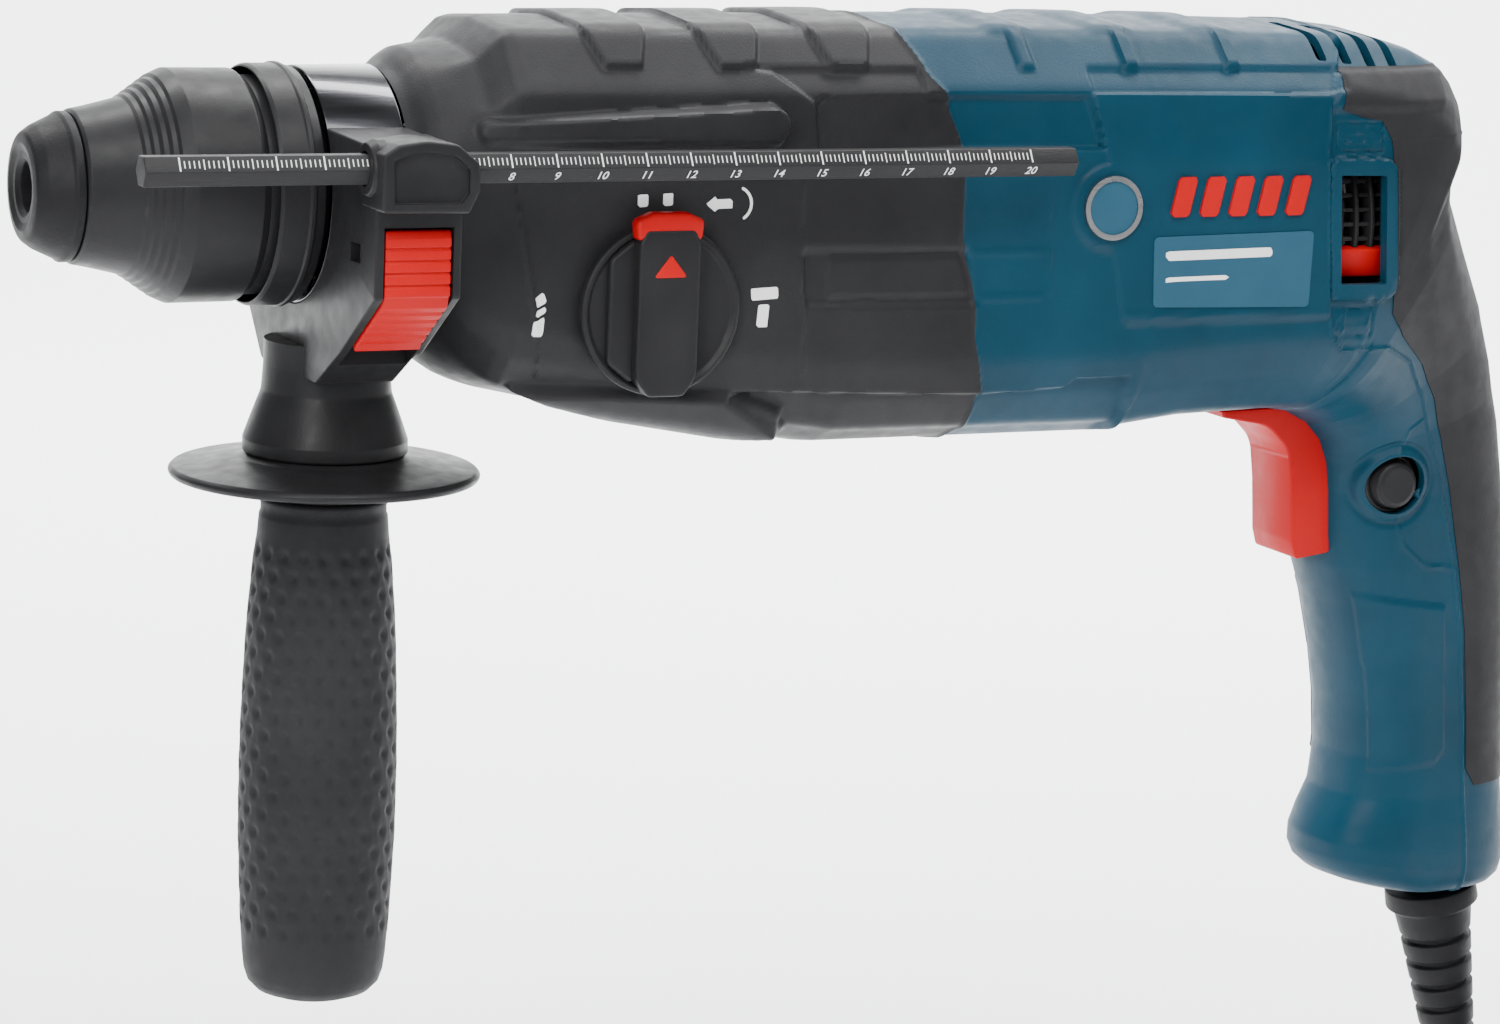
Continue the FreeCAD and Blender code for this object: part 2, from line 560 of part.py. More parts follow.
def drive_train():
    gear = placed(gear_shape(37, 1.25, size.tube_rad, 10), (size.spindle_gear_x, 0, 0))
    publish(solid("spindle_gear", gear), "spindle_gear")
    coil = aimed(spring_shape(14.6, 0.8, 10.4, 3), (size.spindle_gear_x + 11, 0, 0), (1, 0, 0))
    publish(solid("clutch_spring", coil), "clutch_spring")
    # layshaft: the pinion's top tooth stands in the spindle gear's lowest gap
    pinion = placed(gear_shape(11, 1.25, 0, 14), (120, 0, size.lay_drop))
    rod = cylinder("lay_rod", "dims.lay_rad", "dims.lay_back - dims.lay_front - 0.6",
                   ("dims.lay_front", 0, "dims.lay_drop"), "X")
    publish(fuse("layshaft", [rod, solid("lay_pinion", pinion)]), "layshaft")
    gear = placed(gear_shape(32, 1, size.lay_rad, 9, math.pi / 32), (size.drive_gear_x, 0, size.lay_drop))
    publish(solid("drive_gear", gear), "drive_gear")
    turned("clutch_sleeve", [
        ("dims.clutch_x", "dims.lay_rad + 0.05"),
        ("dims.clutch_x + dims.clutch_len", "dims.lay_rad + 0.05"),
        ("dims.clutch_x + dims.clutch_len", 9), ("dims.clutch_x + 6", 9), ("dims.clutch_x + 6", 7),
        ("dims.clutch_x + 3.4", 7), ("dims.clutch_x + 3.4", 9), ("dims.clutch_x", 9),
    ], (0, 0, "dims.lay_drop"))


def wobble_drive():
    """Wobble hub on the layshaft, the swinging ring with its finger, and the piston's pin."""
    hub_ball = ball("hub_ball", "dims.wobble_ball", ("dims.wobble_x", 0, "dims.lay_drop"))
    hub_limit = cylinder("hub_limit", 12, 16, ("dims.wobble_x - 8", 0, "dims.lay_drop"), "X")
    hub = common("hub_solid", hub_ball, hub_limit)
    bore = cylinder("hub_bore", "dims.lay_rad", 20, ("dims.wobble_x - 10", 0, "dims.lay_drop"), "X")
    publish(cut("wobble_hub", hub, [bore]), "wobble_hub")
    ring = cylinder("wobble_band", 14.2, 8, ("dims.wobble_x - 4", 0, "dims.lay_drop"), "X")
    finger = cylinder("wobble_finger", "dims.finger_rad", 15.5,
                      ("dims.wobble_x", 0, "dims.lay_drop + 13.5"))
    pads = cylinder("wobble_pads", 3.4, 31, ("dims.wobble_x", -15.5, "dims.lay_drop"), "Y")
    socket = ball("ring_socket", "dims.wobble_ball + 0.1", ("dims.wobble_x", 0, "dims.lay_drop"))
    body = fuse("wobble_ring_body", [ring, finger, pads])
    publish(cut("wobble_ring", body, [socket]), "wobble_ring")
    pin = cylinder("pin_barrel", "dims.pin_rad", 12, ("dims.wobble_x", -6, 0), "Y")
    hole = cylinder("pin_hole", "dims.finger_rad", 12, ("dims.wobble_x", 0, -10))
    publish(cut("piston_pin", pin, [hole]), "piston_pin")


def hammer_train():
    """Piston, striker and beat piece, each with its O-ring groove."""
    blank = turned_raw("piston_blank", [
        ("dims.piston_front", 0), ("dims.piston_front", "dims.piston_rad"),
        ("dims.piston_front + 3", "dims.piston_rad"), ("dims.piston_front + 3", 7.1),
        ("dims.piston_front + 5", 7.1), ("dims.piston_front + 5", "dims.piston_rad"),
        ("dims.piston_back", "dims.piston_rad"), ("dims.piston_back", 0),
    ])
    slot = box("finger_slot", (8.7, 12.6, 16), ("dims.wobble_x - 4.35", -6.3, -11.4))
    publish(cut("piston", blank, [slot]), "piston")
    blank = [
        ("dims.striker_front", 0), ("dims.striker_front", 6), ("dims.striker_front + 2", "dims.piston_rad"),
        ("dims.striker_front + 13", "dims.piston_rad"), ("dims.striker_front + 13", 7.1),
        ("dims.striker_front + 15", 7.1), ("dims.striker_front + 15", "dims.piston_rad"),
        ("dims.striker_back", "dims.piston_rad"), ("dims.striker_back", 0),
    ]
    turned("striker", blank)
    turned("beat_piece", [
        (75, 0), (75, 4.6), (82, 4.6), (82, 6.45), (86, 6.45), (86, 5.1), (88, 5.1), (88, 6.45),
        (93, 6.45), (93, 4.5), (102.5, 4.5), (102.5, 0),
    ])
    ring = Part.makeTorus(8, 0.85, Vec(size.piston_front + 4, 0, 0), Vec(1, 0, 0))
    publish(solid("piston_o_ring", ring), "piston_o_ring")


def motor():
    drop = size.motor_drop
    pinion = placed(gear_shape(8, 1, 0, 9), (size.pinion_x, 0, drop))
    rod = turned_raw("armature_rod", [
        (198, 0), (198, "dims.shaft_rad"), ("dims.shaft_end", "dims.shaft_rad"), ("dims.shaft_end", 0)])
    bind(rod, ".Placement.Base.z", "dims.motor_drop")
    publish(fuse("armature_shaft", [rod, solid("motor_pinion", pinion)]), "armature_shaft")
    slots = Part.makeCylinder(size.core_rad, size.core_len, Vec(size.core_x, 0, drop), Vec(1, 0, 0))
    slots = slots.cut(Part.makeCylinder(size.shaft_rad, 60, Vec(size.core_x - 5, 0, drop), Vec(1, 0, 0)))
    for k in range(12):
        groove = Part.makeBox(size.core_len, 2, 5, Vec(size.core_x, -1, size.core_rad - 4))
        groove.rotate(Vec(0, 0, 0), Vec(1, 0, 0), 30 * k)
        groove.translate(Vec(0, 0, drop))
        slots = slots.cut(groove)
    core_back = size.core_x + size.core_len
    heads = [slots, tube_shape(size.core_x - 6, size.core_x - 0.01, 5.5, 17.5, drop),
             tube_shape(core_back + 0.01, core_back + 9, 5.5, 17.5, drop)]
    publish(solid("armature_core", Part.makeCompound(heads)), "armature_core")
    bars = tube_shape(size.commutator_x, size.commutator_x + size.commutator_len, size.shaft_rad,
                      size.commutator_rad, drop)
    for k in range(24):
        groove = Part.makeBox(size.commutator_len - 3, 0.5, 3,
                              Vec(size.commutator_x + 3, -0.25, size.commutator_rad - 0.8))
        groove.rotate(Vec(0, 0, 0), Vec(1, 0, 0), 15 * k)
        groove.translate(Vec(0, 0, drop))
        bars = bars.cut(groove)
    publish(solid("commutator", bars), "commutator")
    fan = tube_shape(size.fan_x, size.fan_x + 2, size.shaft_rad, size.fan_rad, drop)
    fan = fan.fuse(tube_shape(size.fan_x, size.fan_x + 10, size.shaft_rad, 9, drop))
    for k in range(14):
        blade = Part.makeBox(8.5, 1.2, size.fan_rad - 10, Vec(size.fan_x + 1.5, -0.6, 9.5))
        blade.rotate(Vec(0, 0, 9), Vec(1, 0, 0), 28)
        blade.rotate(Vec(0, 0, 0), Vec(1, 0, 0), 360 / 14 * k)
        blade.translate(Vec(0, 0, drop))
        fan = fan.fuse(blade)
    limit = Part.makeCylinder(size.fan_rad, 12, Vec(size.fan_x - 1, 0, drop), Vec(1, 0, 0))
    publish(solid("cooling_fan", fan.common(limit).removeSplitter()), "cooling_fan")
    sheet_metal = plate_blank("baffle_blank", MOTOR_CASE[:3], 220.3, 222)
    opening = cylinder("baffle_opening", 28, 10, (216, 0, "dims.motor_drop"), "X")
    publish(cut("air_baffle", sheet_metal, [opening]), "air_baffle")
    stator = cylinder("stator_round", "dims.stator_rad", "dims.core_len",
                      ("dims.core_x", 0, "dims.motor_drop"), "X")
    bore = cylinder("stator_bore", "dims.core_rad + 0.8", 60,
                    ("dims.core_x - 10", 0, "dims.motor_drop"), "X")
    flats = [box(f"stator_flat_{k}", (60, 12, 80), ("dims.core_x - 10", y, -50))
             for k, y in enumerate((33.6, -45.6))]
    publish(cut("stator_core", stator, [bore] + flats), "stator_core")
    turns = []
    for start in (size.core_x - 5.4, size.core_x + size.core_len):
        for side in (1, -1):
            turn = tube_shape(start, start + 5.4, 24.5, 32, drop)
            limit = Part.makeBox(8, 44, 40, Vec(start - 1, -22, drop if side > 0 else drop - 40))
            turns.append(turn.common(limit.cut(Part.makeBox(8, 60, 16, Vec(start - 1, -30, drop - 8)))))
    publish(solid("field_coils", Part.makeCompound(turns)), "field_coils")


def tube_shape(front, back, inner, outer, drop):
    ring = Part.makeCylinder(outer, back - front, Vec(front, 0, drop), Vec(1, 0, 0))
    return ring.cut(Part.makeCylinder(inner, back - front, Vec(front, 0, drop), Vec(1, 0, 0)))


def reversing_ring():
    """Turning ring with louvres, its red tab, brush holders, brushes and their springs."""
    drop = size.motor_drop
    back = size.ring_x + size.ring_len
    ring = tube_shape(size.ring_x, back, size.ring_in, size.ring_out - 1.6, drop)
    for start in (size.ring_x, back - 3):
        ring = ring.fuse(tube_shape(start, start + 3, size.ring_in, size.ring_out - 0.6, drop))
    for k in range(36):
        slot = Part.makeBox(size.ring_len - 8, 1.8, 8, Vec(size.ring_x + 4, -0.9, size.ring_in - 2))
        slot.rotate(Vec(0, 0, 0), Vec(1, 0, 0), 10 * k)
        slot.translate(Vec(0, 0, drop))
        ring = ring.cut(slot)
    carrier = tube_shape(size.ring_x, size.ring_x + 1.6, 17, size.ring_in + 0.5, drop)
    ring = ring.fuse(carrier)
    for side in (-1, 1):
        arc = tube_shape(size.ring_x + 3.2, back - 3.4, size.ring_out - 2.2, size.ring_out + 1.4, drop)
        limit = Part.makeBox(30, 12, 8.6, Vec(size.ring_x, 28, drop + 4))
        limit.rotate(Vec(0, 0, drop), Vec(1, 0, 0), 90 - 90 * side)
        ring = ring.fuse(arc.common(limit))
    publish(solid("reversing_ring", ring.removeSplitter()), "reversing_ring")
    holders, brushes = [], []
    for side in (1, -1):
        base = drop + side * 14
        low = min(base, base + side * 13)
        holder = Part.makeBox(11, 9, 13, Vec(size.ring_x + 1.6, -4.5, low))
        brush_low = min(drop + side * 12.4, drop + side * 24)
        brush = Part.makeBox(8, 6, 11.6, Vec(size.ring_x + 3.1, -3, brush_low))
        brushes.append(brush)
        holders.append(holder.cut(Part.makeBox(8.2, 6.2, 60, Vec(size.ring_x + 3, -3.1, drop - 30))))
    publish(solid("brush_holders", Part.makeCompound(holders)), "brush_holders")
    publish(solid("carbon_brushes", Part.makeCompound(brushes)), "carbon_brushes")


def mode_selector():
    x, z = "dims.knob_x", "dims.knob_z"
    disc = cylinder("knob_disc", "dims.knob_rad", "-dims.knob_face - 34.6", (x, "dims.knob_face", z), "Y")
    bar = box("knob_bar", (14, "dims.knob_face - dims.knob_bar + 0.4", "2 * dims.knob_rad - 1"),
              (f"{x} - 7", "dims.knob_bar", f"{z} - dims.knob_rad + 0.5"))
    pocket = box("lock_pocket", (12.6, "dims.knob_face - dims.knob_bar + 1.2", 9.6),
                 (f"{x} - 6.3", "dims.knob_bar - 1", f"{z} + dims.knob_rad - 9.1"))
    stem = cylinder("knob_stem", 8, 9, (x, -35, z), "Y")
    pin = cylinder("knob_pin", 1.6, 5, (x, -27, f"{z} - dims.knob_throw"), "Y")
    limit = cylinder("knob_limit", "dims.knob_rad", 30, (x, -46, z), "Y")
    face = common("knob_face_body", fuse("knob_blank", [disc, bar]), limit)
    knob = fuse("knob_body", [cut("knob_head", face, [pocket]), stem, pin])
    publish(knob, "mode_knob")
    publish(box("knob_lock_button", (12, 4.2, 6.6), (0, 0, 0)), "knob_lock_button",
            ("dims.knob_x - 6", "dims.knob_bar - 0.2", "dims.knob_z + dims.knob_rad - 6.2"))
    # shift plate with an upright slot for the knob's pin, and a tongue in the clutch sleeve
    plate_box = box("fork_plate", (12, 2.6, 15), (f"{x} - 6", -25.6, f"{z} - 11"))
    slot = box("fork_slot", (4.8, 6, 7.8), (f"{x} - 2.4", -27, f"{z} - 5.4"))
    arm = box("fork_arm", (16, 2.6, 6), (x, -25.6, f"{z} - 9.9"))
    bridge = box("fork_bridge", (1.8, 16, 6), ("dims.clutch_x + 3.8", -25.6, f"{z} - 9.9"))
    jaw = cylinder("fork_jaw", 11.5, 1.8, ("dims.clutch_x + 3.8", 0, "dims.lay_drop"), "X")
    jaw_bore = cylinder("fork_bore", 7.5, 4, ("dims.clutch_x + 3", 0, "dims.lay_drop"), "X")
    jaw_half = box("fork_half", (6, 30, 30), ("dims.clutch_x + 2", -1, "dims.lay_drop - 15"))
    jaw_ring = cut("fork_jaw_ring", jaw, [jaw_bore, jaw_half])
    flat = cut("fork_flat", fuse("fork_body", [plate_box, arm, bridge]), [slot])
    passage = cylinder("fork_passage", 7.5, 4, ("dims.clutch_x + 3", 0, "dims.lay_drop"), "X")
    bridge_trim = cut("fork_trimmed", flat, [passage])
    publish(fuse("shift_fork", [bridge_trim, jaw_ring]), "shift_fork")


def trigger_group():
    outline = [
        (281.5, -56.3), (284.5, -62), (288.5, -70), (291, -84), (294, -87.6), (307, -89.8),
        (318, -88.6), (318, -56.3),
    ]
    body = plate("trigger_body", outline, "dims.trigger_half")
    core = box("trigger_core", (12, "2 * dims.trigger_half - 5", 29),
               (307, "-dims.trigger_half + 2.5", -85))
    rim = cut("trigger", body, [core])
    publish(rim, "trigger")
    coil = aimed(spring_shape(3, 0.5, 15.4, 6), (308.4, 0, -66), (1, 0, 0))
    publish(solid("trigger_spring", coil), "trigger_spring")
    module = box("switch_box", (20, 20, 36), (325, -10, -92))
    button = box("switch_plunger", (1, 6, 6), (324, -3, -80))
    publish(fuse("switch_module", [module, button]), "switch_module")
    turned("lock_on_button", [
        (0, -20), ("dims.lock_rad - 1", -20), ("dims.lock_rad", -19.2), ("dims.lock_rad", -14),
        (4, -14), (4, -13.2), (0, -13.2)], ("dims.lock_x", 0, "dims.lock_z"), "XY_Plane", "V_Axis")
    publish(box("cable_clamp", (14, 22, 5), (0, 0, 0)), "cable_clamp", (347, -11, -156))


def side_handle():
    """Clamp band round the neck, yoke with the release button, grip and depth rod."""
    tube("clamp_band", "dims.band_front", "dims.band_back", "dims.band_in", "dims.band_out")
    front, back = size.band_front - 0.4, size.yoke_back
    side = [(-54, 12), (-54, 1.5), (-51, 0.5), (-51, -17), (-31, -31), (-17, -39.5), (17, -39.5), (27, -28),
            (30, -14), (30, 2), (20, 2), (-24, 12)]
    face = Part.Face(Part.makePolygon([Vec(front, y, z) for y, z in side + side[:1]]))
    yoke = face.extrude(Vec(back - front, 0, 0))
    yoke = yoke.cut(Part.makeCylinder(size.band_out, 60, Vec(front - 10, 0, 0), Vec(1, 0, 0)))
    hexagon = [Vec(front - 1, size.rod_y + 3.85 * math.cos(math.radians(60 * k)),
                   size.rod_z + 3.85 * math.sin(math.radians(60 * k))) for k in range(6)]
    yoke = yoke.cut(Part.Face(Part.makePolygon(hexagon + hexagon[:1])).extrude(Vec(30, 0, 0)))
    pocket = [(-60, -2.9), (-60, -19), (-30, -33.5), (-24.5, -27.5), (-42.2, -13), (-42.2, -2.9)]
    face = Part.Face(Part.makePolygon([Vec(59.6, y, z) for y, z in pocket + pocket[:1]]))
    yoke = yoke.cut(face.extrude(Vec(15.4, 0, 0)))
    profile = [(0, -37), (12.5, -37), (12.5, -40), (13.5, -44), (16.6, -50), (17, -52.6), (0, -52.6)]
    face = Part.Face(Part.makePolygon([Vec(r, 0, z) for r, z in profile + profile[:1]]))
    stem = face.revolve(Vec(0, 0, 0), Vec(0, 0, 1), 360)
    stem.translate(Vec(size.handle_x, 0, 0))
    yoke = yoke.fuse(stem).cut(Part.makeCylinder(6, 30, Vec(size.handle_x, 0, -53)))
    clearance = Part.makeCylinder(29.5, 12, Vec(size.gear_case_front - 1, 0, 0), Vec(1, 0, 0))
    yoke = yoke.cut(clearance).removeSplitter()
    publish(solid("handle_yoke", yoke), "handle_yoke")
    turned("grip_core", [
        (0, -44), (5.7, -44), (5.7, -53), (17, -53), (17.4, -57),
        ("dims.guard_rad - 1", "dims.guard_z - 1.6"),
        ("dims.guard_rad", "dims.guard_z - 3"), ("dims.guard_rad - 1", "dims.guard_z - 4.4"),
        (16, "dims.guard_z - 5"), (13.4, "dims.grip_top"), (10, "dims.grip_top"), (10, -170), (0, -170),
    ], ("dims.handle_x", 0, 0), "XZ_Plane", "V_Axis")
    turned("side_grip", [
        (10.05, "dims.grip_top - 0.4"), (13.8, "dims.grip_top - 0.4"), (14.7, -80), (15.9, -95),
        (16.6, -112),
        (16.9, -128), (16.7, -145), (16, -160), (14.9, -174), (12.5, "dims.grip_end"), (0, "dims.grip_end"),
        (0, -170.2), (10.05, -170.2),
    ], ("dims.handle_x", 0, 0), "XZ_Plane", "V_Axis")
    rod_x, rod_z = size.rod_front, size.rod_z
    flat = size.rod_flat / 2 / math.cos(math.radians(30))
    corners = [Vec(rod_x, size.rod_y + flat * math.cos(math.radians(60 * k)),
                   rod_z + flat * math.sin(math.radians(60 * k))) for k in range(6)]
    bar = Part.Face(Part.makePolygon(corners + corners[:1])).extrude(Vec(size.rod_back - rod_x, 0, 0))
    bar = bar.cut(Part.makeBox(9, 12, 4, Vec(size.rod_back - 6, -53, rod_z - 6)))
    publish(solid("depth_rod", bar), "depth_rod")
    outline = [Vec(60, y, z) for y, z in [
        (-49.6, -3.3), (-49.6, -16.8), (-31.5, -29.5), (-29.5, -27), (-45.6, -14.8), (-45.6, -3.3)]]
    button = Part.Face(Part.makePolygon(outline + outline[:1])).extrude(Vec(14.6, 0, 0))
    publish(solid("depth_release_button", button), "depth_release_button")


def cord_and_plug():
    top, down = boot_line()
    profile = [(0, 0), (7, 0), (7, 4.5), (9.4, 5.5), (9.4, 10), (8.4, 12), (5.6, size.boot_len),
               (0, size.boot_len)]
    face = Part.Face(Part.makePolygon([Vec(r, 0, d) for r, d in profile + profile[:1]]))
    boot = face.revolve(Vec(0, 0, 0), Vec(0, 0, 1), 360)
    publish(solid("cord_boot", aimed(boot, top, down)), "cord_boot")
    # from the boot the cord turns down to the floor and runs into the coil's outer turn
    exit_at = top + down * size.boot_len
    steps = [(18.5, 12.5), (18.5, 32), (18, 51.5), (18, 71), (13.5, 90)]
    route = [exit_at]
    for length, lean in steps:
        turn = math.radians(lean)
        route.append(route[-1] + Vec(length * math.sin(turn), 0, -length * math.cos(turn)))
    print("cord reaches", route[-1])
    publish(solid("cord_tube", pipe(route, size.cord_rad)), "cord_tube")
    turned("cord_coil", [
        ("dims.coil_in + 2", 0), ("dims.coil_out - 2", 0), ("dims.coil_out", 2),
        ("dims.coil_out", "dims.coil_high - 3"), ("dims.coil_out - 3", "dims.coil_high"),
        ("dims.coil_in + 3", "dims.coil_high"), ("dims.coil_in", "dims.coil_high - 3"), ("dims.coil_in", 2),
    ], ("dims.coil_x", "dims.coil_y", "dims.floor_z"), "XZ_Plane", "V_Axis")
    tail = [Vec(412, -113, -258.6), Vec(396, -113.2, -261.4), Vec(379, -112.4, -267.6),
            Vec(362, -110.2, -274.2), Vec(345, -107.4, -277)]
    publish(solid("cord_tail", pipe(tail, size.cord_rad)), "cord_tail")
    plug(tail[-1])


def plug(entry):
    """Flat moulded two-pin plug that lies beside the coil."""
    outline = [(0, -5.5), (12, -6.5), (20, -15), (34, -17.5), (43, -16), (43, 16), (34, 17.5), (20, 15),
               (12, 6.5), (0, 5.5)]
    half = PLUG_HALF
    face = Part.Face(Part.makePolygon([Vec(x, y, -half) for x, y in outline + outline[:1]]))
    body = face.extrude(Vec(0, 0, 2 * half))
    body = body.makeFillet(2.5, [e for e in body.Edges if abs(e.CenterOfMass.z) > half - 0.1])
    pins = [Part.makeCylinder(2.4, 19, Vec(43, y, 0), Vec(1, 0, 0)) for y in (-9.5, 9.5)]
    spot = FreeCAD.Placement(entry, FreeCAD.Rotation(Vec(0, 0, 1), 170))
    for label, shape in (("plug_body", body), ("plug_pins", Part.makeCompound(pins))):
        shape.Placement = spot
        publish(solid(label, shape), label)


PLUG_HALF = 7.9


def pipe(route, radius):
    """Straight runs joined by tangent arcs; each arc is as large as its two runs allow."""
    edges = []
    start = route[0]
    for before, corner, after in zip(route, route[1:], route[2:]):
        inward, outward = corner - before, after - corner
        turn = inward.getAngle(outward)
        reach = 0.45 * min(inward.Length, outward.Length)
        bend = reach / math.tan(turn / 2)
        print(f"cord bend radius {bend:.1f} mm, turn {math.degrees(turn):.0f} degrees")
        first = corner - inward.normalize() * reach
        last = corner + outward.normalize() * reach
        middle_way = (first + last) * 0.5 - corner
        sag = bend / math.cos(turn / 2) - bend
        middle = corner + middle_way.normalize() * sag
        edges.append(Part.LineSegment(start, first).toShape())
        edges.append(Part.Arc(first, middle, last).toShape())
        start = last
    edges.append(Part.LineSegment(start, route[-1]).toShape())
    path = Part.Wire(edges)
    ring = Part.Wire(Part.makeCircle(radius, route[0], route[1] - route[0]).Edges)
    body = path.makePipeShell([ring], True, True)
    expected = math.pi * radius * radius * path.Length
    print(f"cord length {path.Length:.1f} mm, volume {body.Volume:.0f} against {expected:.0f}")
    return body


gear_case()
motor_case()
rear_cover()
flanges()
chuck()
spindle()
bearings()
drive_train()
wobble_drive()
hammer_train()
motor()
reversing_ring()
mode_selector()
trigger_group()
side_handle()
cord_and_plug()
screws()

doc.recompute()
problems = [f"{obj.Label}: {obj.State}" for obj in doc.Objects if {"Invalid", "Error"} & set(obj.State)]
for obj in parts:
    if obj.Shape.isNull() or not obj.Shape.isValid() or not obj.Shape.Solids:
        problems.append(f"{obj.Label}: bad shape")
if problems:
    raise RuntimeError("; ".join(problems))

os.makedirs("parts", exist_ok=True)
for obj in parts:
    obj.Shape.exportStep(f"parts/{obj.Label}.step")
print(len(parts), "sub-parts")
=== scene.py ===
import json
import math
import bpy
import bmesh
import numpy as np
from mathutils import Matrix, Vector
from mathutils.bvhtree import BVHTree


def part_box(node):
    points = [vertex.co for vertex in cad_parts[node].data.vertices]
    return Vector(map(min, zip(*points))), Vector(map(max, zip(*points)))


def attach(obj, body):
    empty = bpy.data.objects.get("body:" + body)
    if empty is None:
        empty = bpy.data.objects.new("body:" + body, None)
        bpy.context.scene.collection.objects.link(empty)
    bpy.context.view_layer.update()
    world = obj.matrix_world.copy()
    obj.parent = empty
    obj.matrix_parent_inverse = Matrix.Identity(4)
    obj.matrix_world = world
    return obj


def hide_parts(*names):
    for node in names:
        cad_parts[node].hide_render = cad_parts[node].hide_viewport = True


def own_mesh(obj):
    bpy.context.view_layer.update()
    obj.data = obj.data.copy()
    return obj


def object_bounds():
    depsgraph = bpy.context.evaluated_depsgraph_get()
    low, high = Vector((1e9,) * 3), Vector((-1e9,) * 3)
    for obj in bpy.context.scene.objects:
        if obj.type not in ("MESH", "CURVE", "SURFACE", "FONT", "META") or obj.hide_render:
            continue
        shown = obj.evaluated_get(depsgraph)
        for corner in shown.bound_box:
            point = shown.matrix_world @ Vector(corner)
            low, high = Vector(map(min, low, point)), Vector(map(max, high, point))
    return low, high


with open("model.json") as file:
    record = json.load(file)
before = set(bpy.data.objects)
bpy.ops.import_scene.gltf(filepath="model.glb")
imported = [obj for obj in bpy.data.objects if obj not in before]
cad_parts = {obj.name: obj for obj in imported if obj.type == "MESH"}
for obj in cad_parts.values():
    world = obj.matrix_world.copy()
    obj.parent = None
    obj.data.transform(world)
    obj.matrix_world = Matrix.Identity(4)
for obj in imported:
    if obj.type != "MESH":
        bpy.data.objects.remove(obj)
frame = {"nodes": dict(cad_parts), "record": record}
CAD_BOX = [list(map(float, corner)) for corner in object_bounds()]

# Working coordinates are millimetres: X from the nose to the rear along the spindle, Z up from
# the spindle's axis, -Y the side with the mode knob.  at() turns them into the row frame.
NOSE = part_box("dust_cap")[0][0]
AXIS = (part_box("dust_cap")[0][2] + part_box("dust_cap")[1][2]) / 2


def at(x, y, z):
    return Vector((NOSE + x / 1000, y / 1000, AXIS + z / 1000))


# ---------------------------------------------------------------- camera, light, floor
def camera():
    """Seen from the knob's side, a little from the front and from above."""
    yaw, pitch, roll = (math.radians(a) for a in (25.83, 10.79, -2.39))
    forward = Vector((math.sin(yaw) * math.cos(pitch), math.cos(yaw) * math.cos(pitch), -math.sin(pitch)))
    level = Vector((math.cos(yaw), -math.sin(yaw), 0))
    down = forward.cross(level)
    right = math.cos(roll) * level + math.sin(roll) * down
    up = math.sin(roll) * level - math.cos(roll) * down
    data = bpy.data.cameras.new("camera")
    data.sensor_width = 36
    data.lens = 104.66
    data.clip_start = 0.05
    data.clip_end = 30
    view = bpy.data.objects.new("camera", data)
    turn = Matrix((right, up, -forward)).transposed().to_4x4()
    view.matrix_world = Matrix.Translation(at(-249.2, -862.0, 107.5)) @ turn
    bpy.context.collection.objects.link(view)
    bpy.context.scene.camera = view


def area_light(name, spot, target, size, power, colour=(1, 1, 1)):
    data = bpy.data.lights.new(name, "AREA")
    data.shape = "RECTANGLE"
    data.size, data.size_y = size
    data.energy = power
    data.color = colour
    lamp = bpy.data.objects.new(name, data)
    lamp.location = spot
    lamp.rotation_euler = (Vector(target) - Vector(spot)).to_track_quat("-Z", "Y").to_euler()
    bpy.context.collection.objects.link(lamp)


def studio():
    world = bpy.data.worlds.new("studio")
    world.use_nodes = True
    world.node_tree.nodes["Background"].inputs["Color"].default_value = (0.95, 0.97, 1, 1)
    world.node_tree.nodes["Background"].inputs["Strength"].default_value = 0.25
    bpy.context.scene.world = world
    ahead, across = Vector((0.436, 0.9, 0)), Vector((0.9, -0.436, 0))
    area_light("top_soft", (-0.3, -0.7, 1.1), (-0.1, 0, 0), (1.2, 0.5), 20)
    area_light("front_left", (-1.1, -0.9, 0.6), (-0.1, 0, 0), (0.4, 0.7), 12)
    over = ahead * 0.75 + Vector((0, 0, 1.7))
    area_light("backdrop_wash", over, over + ahead * 1.3 - Vector((0, 0, 1.5)), (3.6, 1.0), 300)
    # pale floor that curves up into a backdrop behind the tool
    floor_z = CAD_BOX[0][2]
    run = [(-3.0, 0.0), (0.0, 0.0), (1.7, 0.0)]
    run += [(1.7 + math.sin(math.radians(a)), 1 - math.cos(math.radians(a))) for a in range(5, 91, 5)]
    run += [(2.7, 3.0)]
    verts = []
    for reach_out, height in run:
        for side in (-3.5, 3.5):
            spot = ahead * reach_out + across * side
            verts.append((spot.x, spot.y, floor_z + height))
    faces = [(2 * k, 2 * k + 1, 2 * k + 3, 2 * k + 2) for k in range(len(run) - 1)]
    mesh = bpy.data.meshes.new("floor")
    mesh.from_pydata(verts, [], faces)
    mesh.shade_smooth()
    floor = bpy.data.objects.new("floor", mesh)
    bpy.context.collection.objects.link(floor)
    paint = bpy.data.materials.new("floor")
    paint.use_nodes = True
    shader = paint.node_tree.nodes["Principled BSDF"]
    shader.inputs["Base Color"].default_value = (0.93, 0.935, 0.94, 1)
    shader.inputs["Roughness"].default_value = 0.9
    shader.inputs["Specular IOR Level"].default_value = 0.1
    mesh.materials.append(paint)


# ---------------------------------------------------------------- materials
MADE = {}


